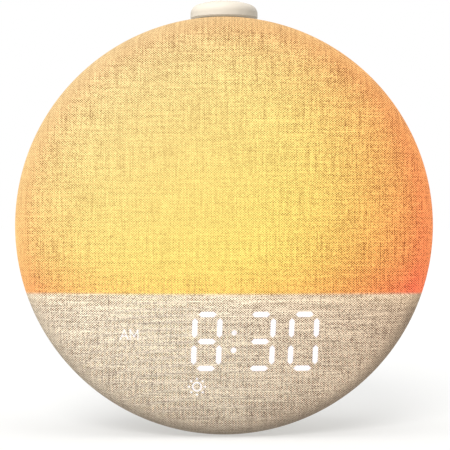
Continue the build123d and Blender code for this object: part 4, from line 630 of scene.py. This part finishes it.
def linen_finish():
    """Woven linen, lit from behind over the bar and bare under it, where the display shines through."""
    finish = Finish(
        "linen", Roughness=0.9, Specular_IOR_Level=0.15, Sheen_Weight=0.05, Emission_Strength=GLOW_STRENGTH
    )
    x, _, z = finish.axes(centre=(0, 0, DISC_Z))
    cloth_map = finish.node("ShaderNodeUVMap", {"uv_map": "cloth"})
    u, v = (finish.node("ShaderNodeSeparateXYZ", None, {0: cloth_map}, output=i) for i in range(2))
    reach = distance(u, v)
    threads, streaked, relief = linen_threads(finish, u, v, reach)
    bare = bare_linen(finish, threads, x, z, reach)
    glowing = glowing_linen(finish, streaked, x, z)
    over_bar = z.ease(-DIVIDER_DROP - GLOW_EDGE_SOFT, -DIVIDER_DROP + GLOW_EDGE_SOFT)
    lit = over_bar * reach.ease(GLOW_SIDE_END, GLOW_SIDE_START)
    shown = display_mask(x, z)
    # Where the cloth glows, its base colour is a painted, dimmed copy of the glow's colour.
    base = finish.mix(lit, bare, finish.mix(1.0, glowing, PAINTED_GLOW_SHARE, "MULTIPLY"))
    finish.feed("Base Color", finish.mix(shown * DIGIT_CLOTH_SHARE, base, DIGIT_CLOTH))
    leak = z.ease(-DIVIDER_DROP - LEAK_DEPTH, -DIVIDER_DROP) * LEAK_SHARE
    under_bar = finish.mix(shown, finish.mix(leak, BLACK, LEAK_COLOUR), DIGIT_LIGHT)
    finish.feed("Emission Color", finish.mix(lit, under_bar, glowing))
    finish.bump(relief, THREAD_RELIEF)
    return finish


linen_cover.data.materials.append(linen_finish().material)
print(len(linen_cover.data.materials[0].node_tree.nodes), "nodes in the linen finish")

# %% [markdown]
# The hard parts need only a few kinds of finish. Each kind is one function with a colour and a few numbers,
# so parts of one kind differ in tone and gloss, and no surface is one flat colour. Moulded plastic and
# rubber have a broad, faint drift of tone and the fine grain of their mould. Opal plastic lets light a
# little way in as well.

# %% Moulded finishes
MOULD_GRAIN = 0.35 * MM
TONE_DRIFT = 28.0
BROAD_GLOSS, FINE_GLOSS = 0.12, 0.08
OPAL_DEPTH, OPAL_SHARE = 2 * MM, 0.3


def moulded(name, colour, roughness=0.5, grain=0.02, drift=0.05, coat=0.0, shine=0.5):
    """Moulded plastic or rubber, with the depth of its grain in millimetres."""
    finish = Finish(name, Coat_Weight=coat, Coat_Roughness=0.25, Specular_IOR_Level=shine)
    x, y, z = finish.axes()
    where = finish.vector(x, y, z)
    broad = finish.noise(where, scale=TONE_DRIFT, detail=3.0)
    fine = finish.noise(where, scale=1 / MOULD_GRAIN)
    dark, light = shaded(colour, 1 - drift), shaded(colour, 1 + drift)
    finish.feed("Base Color", finish.mix(broad.ease(0.3, 0.7), dark, light))
    least_rough = roughness - (BROAD_GLOSS + FINE_GLOSS) / 2
    finish.feed("Roughness", (broad * BROAD_GLOSS + fine * FINE_GLOSS + least_rough).clamped())
    finish.bump(fine, grain * MM)
    return finish


def opal(name, colour):
    """Opal plastic that scatters light."""
    finish = moulded(name, colour, roughness=0.45, grain=0.01)
    finish.shader.inputs["Subsurface Weight"].default_value = OPAL_SHARE
    finish.shader.inputs["Subsurface Scale"].default_value = OPAL_DEPTH
    return finish


print("moulded finishes ready")

# %% [markdown]
# Metal is brushed: noise that is squeezed along one axis becomes fine lines. A circuit board shows
# its copper tracks through the green mask, and the tracks run along two axes, so two stretched noises are
# cut off sharply and laid over each other. Lamps are white packages in which some yellow shows.

# %% Metal, boards and lamps
BRUSH_LINES, DULL_PATCHES, METAL_GLOSS = 900.0, 120.0, 0.15
TRACKS_ALONG, TRACKS_ACROSS = 160.0, 2200.0
LAMP_PATCHES = 260.0


def metal(name, colour, roughness=0.35, brushed=(1.0, 1.0, 12.0)):
    """Metal with fine lines along its brushing."""
    finish = Finish(name, Metallic=1.0)
    x, y, z = finish.axes()
    squeezed = finish.vector(x * brushed[0], y * brushed[1], z * brushed[2])
    lines = finish.noise(squeezed, scale=BRUSH_LINES, detail=3.0)
    dull = finish.noise(finish.vector(x, y, z), scale=DULL_PATCHES)
    finish.feed("Base Color", finish.mix(lines * 0.5 + dull * 0.5, shaded(colour, 0.8), colour))
    rough = lines * METAL_GLOSS + dull * METAL_GLOSS + (roughness - METAL_GLOSS)
    finish.feed("Roughness", rough.clamped())
    finish.bump(lines, 0.01 * MM)
    return finish


def board(name, mask, track):
    """Circuit board: solder mask over copper tracks that run along X and Z."""
    finish = Finish(name, Roughness=0.35, Coat_Weight=0.4, Coat_Roughness=0.2)
    x, y, z = finish.axes()
    upright = finish.noise(finish.vector(x * TRACKS_ACROSS, y, z * TRACKS_ALONG), detail=1.0)
    level = finish.noise(finish.vector(x * TRACKS_ALONG, y, z * TRACKS_ACROSS), detail=1.0)
    copper = upright.ease(0.56, 0.6).highest(level.ease(0.58, 0.62))
    finish.feed("Base Color", finish.mix(copper, mask, track))
    finish.bump(copper, 0.03 * MM)
    return finish


def lamp(name, body, phosphor):
    """White lamp packages with soft patches of yellow."""
    finish = Finish(name, Roughness=0.3, Coat_Weight=0.5)
    x, y, z = finish.axes()
    patches = finish.noise(finish.vector(x, y, z), scale=LAMP_PATCHES)
    finish.feed("Base Color", finish.mix(patches.ease(0.35, 0.65), body, phosphor))
    return finish


print("metal, board and lamp finishes ready")

# %% [markdown]
# Two finishes are for the speaker at the back. The thin cloth behind its grille is an open weave, again a
# product of two cosines, and the cone is pressed from paper fibres, which lie every way but up.

# %% Speaker finishes
SPEAKER_CLOTH_PITCH = 0.45 * MM
FIBRES = 1400.0


def speaker_cloth(name, dark, light):
    """Thin open cloth behind the grille."""
    finish = Finish(name, Roughness=0.95)
    x, _, z = finish.axes()
    rows = (x * (math.tau / SPEAKER_CLOTH_PITCH)).maths("COSINE")
    columns = (z * (math.tau / SPEAKER_CLOTH_PITCH)).maths("COSINE")
    threads = rows * columns * 0.5 + 0.5
    finish.feed("Base Color", finish.mix(threads, dark, light))
    finish.bump(threads, 0.08 * MM)
    return finish


def paper(name, colour):
    """Pressed fibres of a speaker cone."""
    finish = Finish(name, Roughness=0.85)
    x, y, z = finish.axes()
    fibres = finish.noise(finish.vector(x, y * 3.0, z), scale=FIBRES, detail=4.0, roughness=0.7)
    finish.feed("Base Color", finish.mix(fibres.ease(0.4, 0.75), colour, shaded(colour, 1.8)))
    finish.bump(fibres, 0.06 * MM)
    return finish


print("speaker finishes ready")

# %% [markdown]
# The record names a slot for every node. One table says which finish fills which slot. The housing, the
# button, the keys and the grille are moulded in one satin cream, each from its own tool, so their tones
# differ only slightly.

# %% Finishes for the slots
finishes = {
    "opal_plastic": opal("opal", linear(244, 243, 236)),
    "smoked_plastic": moulded("smoked", linear(150, 140, 125), roughness=0.25, grain=0.004, coat=0.5),
    "frame_plastic": moulded("frame_white", linear(233, 229, 218), roughness=0.55),
    "white_plastic": moulded("reflector_white", linear(244, 244, 241), roughness=0.35, grain=0.006),
    "chassis_plastic": moulded("chassis_grey", linear(62, 62, 65), roughness=0.6, grain=0.04),
    "housing_plastic": moulded("housing_cream", linear(182, 173, 158), roughness=0.52, grain=0.03),
    "button_plastic": moulded("button_cream", linear(191, 183, 170), grain=0.012, shine=0.25),
    "grille_plastic": moulded("grille_cream", linear(179, 170, 155), roughness=0.52, grain=0.03),
    "grille_cloth": speaker_cloth("speaker_cloth", linear(52, 50, 47), linear(120, 116, 108)),
    "foot_rubber": moulded("foot_rubber", linear(58, 54, 50), roughness=0.8, grain=0.05, drift=0.12),
    "gasket_rubber": moulded("gasket_rubber", linear(38, 38, 38), roughness=0.75, grain=0.03, drift=0.12),
    "cone_paper": paper("cone_paper", linear(46, 46, 50)),
    "magnet_steel": metal("magnet_steel", linear(188, 188, 190), roughness=0.3, brushed=(1.0, 12.0, 1.0)),
    "screw_steel": metal("screw_steel", linear(190, 190, 194), roughness=0.3),
    "spring_steel": metal("spring_steel", linear(170, 170, 175), roughness=0.28),
    "circuit_board": board("circuit_board", linear(22, 92, 58), linear(62, 138, 88)),
    "lamp_white": lamp("lamp_white", linear(246, 244, 236), linear(244, 214, 120)),
    "black_plastic": moulded("black_plastic", linear(34, 34, 36), roughness=0.45, grain=0.01, drift=0.1),
    "can_metal": metal("tinned_metal", linear(205, 205, 207), roughness=0.32, brushed=(12.0, 1.0, 1.0)),
    "plug_nylon": moulded("plug_nylon", linear(235, 232, 220), roughness=0.4, grain=0.006),
    "lead_jacket": moulded("lead_jacket", linear(44, 44, 47), roughness=0.55, grain=0.01, drift=0.12),
}
print(len(finishes), "finishes for", len(frame["nodes"]), "nodes")

# %% [markdown]
# A loop hands each node the finish of its slot. The cloth cover's slot isn't in the table, because the linen
# sheet already stands for that node.

# %% Dress the nodes
slots = {part["node"]: part["material_slot"] for part in frame["record"]["subparts"]}
dressed = 0
for node_name, node_object in frame["nodes"].items():
    chosen = finishes.get(slots.get(node_name))
    if chosen is None:
        continue
    node_object.data.materials.clear()
    node_object.data.materials.append(chosen.material)
    dressed += 1
print(dressed, "nodes dressed")

# %% [markdown]
# Each side key carries a raised plus and minus, so that a hand can tell its ends apart in the dark. Their
# outlines are plain crosses and bars. A ray cast from outside finds the key's skin and its normal there,
# which is simpler than working out how the keys follow the bowl.

# %% Outlines and places of the signs
SIGN_ARM = 1.7 * MM
SIGN_HALF_PEN = 0.36 * MM
SIGN_OFFSET = 8 * MM
OUTSIDE = 200 * MM


def sign_outline(plus):
    """Corners of a plus or a minus, round its middle; the minus lies across the key."""
    pen, arm = SIGN_HALF_PEN, SIGN_ARM
    if not plus:
        return [(pen, -arm), (pen, arm), (-pen, arm), (-pen, -arm)]
    quarter = [(pen, pen), (pen, arm), (-pen, arm)]
    corners = []
    for _ in range(4):
        corners += quarter
        quarter = [(-y, x) for x, y in quarter]
    return corners


def key_skin(node, plus):
    """Where a sign sits on its key, and the skin's normal there: the plus is nearer the clock's top."""
    mesh = frame["nodes"][node].data
    skin = BVHTree.FromPolygons([v.co for v in mesh.vertices], [p.vertices for p in mesh.polygons])
    _, _, middle = span(node)
    turn = math.atan2(middle.x, middle.z - DISC_Z)
    step = math.copysign(SIGN_OFFSET / math.hypot(middle.x, middle.z - DISC_Z), turn)
    turn += -step if plus else step
    outward = Vector((math.sin(turn), 0, math.cos(turn)))
    place, normal, _, _ = skin.ray_cast(Vector((0, middle.y, DISC_Z)) + outward * OUTSIDE, -outward)
    return place, normal, Vector((math.cos(turn), 0, -math.sin(turn)))


print(len(sign_outline(True)), "corners on a plus,", len(sign_outline(False)), "on a minus")

# %% [markdown]
# Each sign is a flat outline that is extruded from just under the skin and bevelled round its top. It rides
# on its key, so it tips with it. The original face stays as the sign's foot, which keeps the shape closed.

# %% Raise the signs
SIGN_PROUD = 0.26 * MM
SIGN_ROOT = 0.12 * MM
SIGN_BEVEL = 0.1 * MM


def raised_sign(name, node, plus, finish):
    """A sign that stands proud of a key's skin."""
    place, normal, round_body = key_skin(node, plus)
    depth_way = normal.cross(round_body).normalized()
    root = place - normal * SIGN_ROOT
    shape = bmesh.new()
    low = [shape.verts.new(root + round_body * a + depth_way * b) for a, b in sign_outline(plus)]
    foot = shape.faces.new(low)
    raised = bmesh.ops.extrude_face_region(shape, geom=[foot], use_keep_orig=True)["geom"]
    lifted = [part for part in raised if isinstance(part, bmesh.types.BMVert)]
    bmesh.ops.translate(shape, verts=lifted, vec=normal * (SIGN_ROOT + SIGN_PROUD))
    top_edges = [part for part in raised if isinstance(part, bmesh.types.BMEdge)]
    bmesh.ops.bevel(
        shape, geom=top_edges, offset=SIGN_BEVEL, segments=2, profile=0.5, affect="EDGES", material=-1
    )
    bmesh.ops.recalc_face_normals(shape, faces=shape.faces)
    sign = finished(name, shape, body=node)
    sign.data.materials.append(finish.material)
    return sign


sign_finish = moulded("sign_cream", linear(150, 141, 127), roughness=0.45, grain=0.01)
for key_name in ("brightness", "volume"):
    for sign_name, plus in (("plus", True), ("minus", False)):
        sign = raised_sign(f"{key_name}_{sign_name}", f"{key_name}_rocker", plus, sign_finish)
        print(sign.name, "has", len(sign.data.polygons), "faces")

# %% [markdown]
# Under the button sits a coil spring, which gets shorter as the button goes down. A solid can't do that, so
# the spring is made here again: a small circle, spun about the button's axis while it rises a little at each
# step, with its two ends closed.

# %% Spring of the button
SPRING_WIRE = 0.35 * MM
SPRING_TURNS = 4.5
SPRING_STEPS = 126
WIRE_SIDES = 10


def coil_spring():
    """A round wire wound upwards in the room of the frame's own spring; gives its height."""
    low, high, middle = span("button_spring")
    height = high.z - low.z
    start = Vector(((high.x - low.x) / 2 - SPRING_WIRE, middle.y, low.z + SPRING_WIRE))
    shape = bmesh.new()
    upright = Matrix.Translation(start) @ Matrix.Rotation(math.pi / 2, 4, "X")
    bmesh.ops.create_circle(shape, segments=WIRE_SIDES, radius=SPRING_WIRE, matrix=upright)
    bmesh.ops.spin(
        shape,
        geom=shape.verts[:] + shape.edges[:],
        cent=(0, middle.y, 0),
        axis=(0, 0, 1),
        dvec=(0, 0, (height - 2 * SPRING_WIRE) / SPRING_STEPS),
        angle=math.tau * SPRING_TURNS,
        steps=SPRING_STEPS,
    )
    bmesh.ops.holes_fill(shape, edges=[edge for edge in shape.edges if edge.is_boundary])
    bmesh.ops.recalc_face_normals(shape, faces=shape.faces)
    spring = finished("wound_spring", shape)
    spring.data.shade_smooth()
    spring.data.materials.append(finishes["spring_steel"].material)
    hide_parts("button_spring")
    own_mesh(spring)
    return height


print(f"spring {coil_spring() / MM:.2f} mm high")

# %% [markdown]
# The stage is a light table: a plain pale floor that glows a little itself, so its shadows stay light. It is
# left out of the bounced light, because a glowing floor would light the clock from below.

# %% Floor
FLOOR_SIZE = 60.0
FLOOR_WHITE = linear(188, 188, 187)
FLOOR_GLOW = 0.93


def stage_floor():
    """A wide flat floor."""
    shape = bmesh.new()
    bmesh.ops.create_grid(shape, x_segments=2, y_segments=2, size=FLOOR_SIZE / 2)
    mesh = bpy.data.meshes.new("floor")
    shape.to_mesh(mesh)
    shape.free()
    paint = Finish(
        "floor_paint",
        Roughness=0.8,
        Specular_IOR_Level=0.1,
        Base_Color=FLOOR_WHITE,
        Emission_Color=FLOOR_WHITE,
        Emission_Strength=FLOOR_GLOW,
    )
    mesh.materials.append(paint.material)
    floor = bpy.data.objects.new("floor", mesh)
    bpy.context.scene.collection.objects.link(floor)
    floor.visible_diffuse = False
    return floor


floor = stage_floor()
print(f"floor {FLOOR_SIZE:.0f} m wide")

# %% [markdown]
# All lamps are suns with wide discs, because their light doesn't fade with distance. The key stands high in
# front and to the left and darkens the cloth towards its foot. A weaker, lower one keeps the back of the
# clock out of the dark, and stays out of reflections, because seen from the front it would burn out the edge
# of the button. The last two light only the floor: one from overhead draws the soft shadow round the foot,
# and a low one the longer shadow behind the clock. Light linking says which lamp lights the floor, which a
# studio does with black card.


# %% Lamps
def wide_sun(name, compass, height, spread, strength, floor_state):
    """A soft sun. Angles are in degrees, with compass 0 in front of the clock and positive to the right."""
    data = bpy.data.lights.new(name, "SUN")
    data.angle = math.radians(spread)
    data.energy = strength
    light = bpy.data.objects.new(name, data)
    around, up = math.radians(compass), math.radians(height)
    stands = Vector((math.sin(around) * math.cos(up), -math.cos(around) * math.cos(up), math.sin(up)))
    light.rotation_euler = stands.to_track_quat("Z", "Y").to_euler()
    bpy.context.scene.collection.objects.link(light)
    linked = bpy.data.collections.new(name + "_and_floor")
    linked.objects.link(floor)
    linked.collection_objects[0].light_linking.link_state = floor_state
    light.light_linking.receiver_collection = linked
    return light


wide_sun("key", compass=-34, height=49, spread=80, strength=5.3, floor_state="EXCLUDE")
back_fill = wide_sun("back_fill", compass=150, height=20, spread=60, strength=2.2, floor_state="EXCLUDE")
back_fill.visible_glossy = False
wide_sun("floor_overhead", compass=-15, height=72, spread=60, strength=1.0, floor_state="INCLUDE")
wide_sun("floor_low", compass=-9, height=28, spread=22, strength=2.3, floor_state="INCLUDE")
print(len(bpy.data.lights), "lamps")

# %% [markdown]
# The sky is pure white where it is seen and dimmer where it lights, so it fills the shadows without washing
# them out. Colours are shown as they are, without a film curve. The denoiser works without its prefilter,
# which would smear threads that are only a pixel wide.

# %% Sky and colour settings
SKY_LIGHT = 0.5

world = bpy.data.worlds.new("surroundings")
world.use_nodes = True
sky = world.node_tree
seen = sky.nodes.new("ShaderNodeLightPath").outputs["Is Camera Ray"]
brightness = sky.nodes.new("ShaderNodeMapRange")
brightness.inputs["To Min"].default_value = SKY_LIGHT
brightness.inputs["To Max"].default_value = 1.0
sky.links.new(seen, brightness.inputs["Value"])
sky.links.new(brightness.outputs[0], sky.nodes["Background"].inputs["Strength"])
sky.nodes["Background"].inputs["Color"].default_value = (1.0, 1.0, 1.0, 1.0)
bpy.context.scene.world = world
bpy.context.scene.view_settings.view_transform = "Standard"
bpy.context.scene.cycles.denoising_prefilter = "NONE"
print("sky set")

# %% [markdown]
# The camera looks straight at the face from well in front, at the height of the disc's middle. A long lens
# keeps the perspective flat.

# %% Camera
CAMERA_PLACE = (0.42 * MM, -736 * MM, 89.2 * MM)
CAMERA_LENS = 134.4
SENSOR_WIDTH = 36.0

camera_data = bpy.data.cameras.new("camera")
camera_data.lens = CAMERA_LENS
camera_data.sensor_width = SENSOR_WIDTH
camera = bpy.data.objects.new("camera", camera_data)
camera.location = CAMERA_PLACE
camera.rotation_euler = (math.pi / 2, 0, 0)
bpy.context.scene.collection.objects.link(camera)
bpy.context.scene.camera = camera
print("camera at", CAMERA_PLACE)
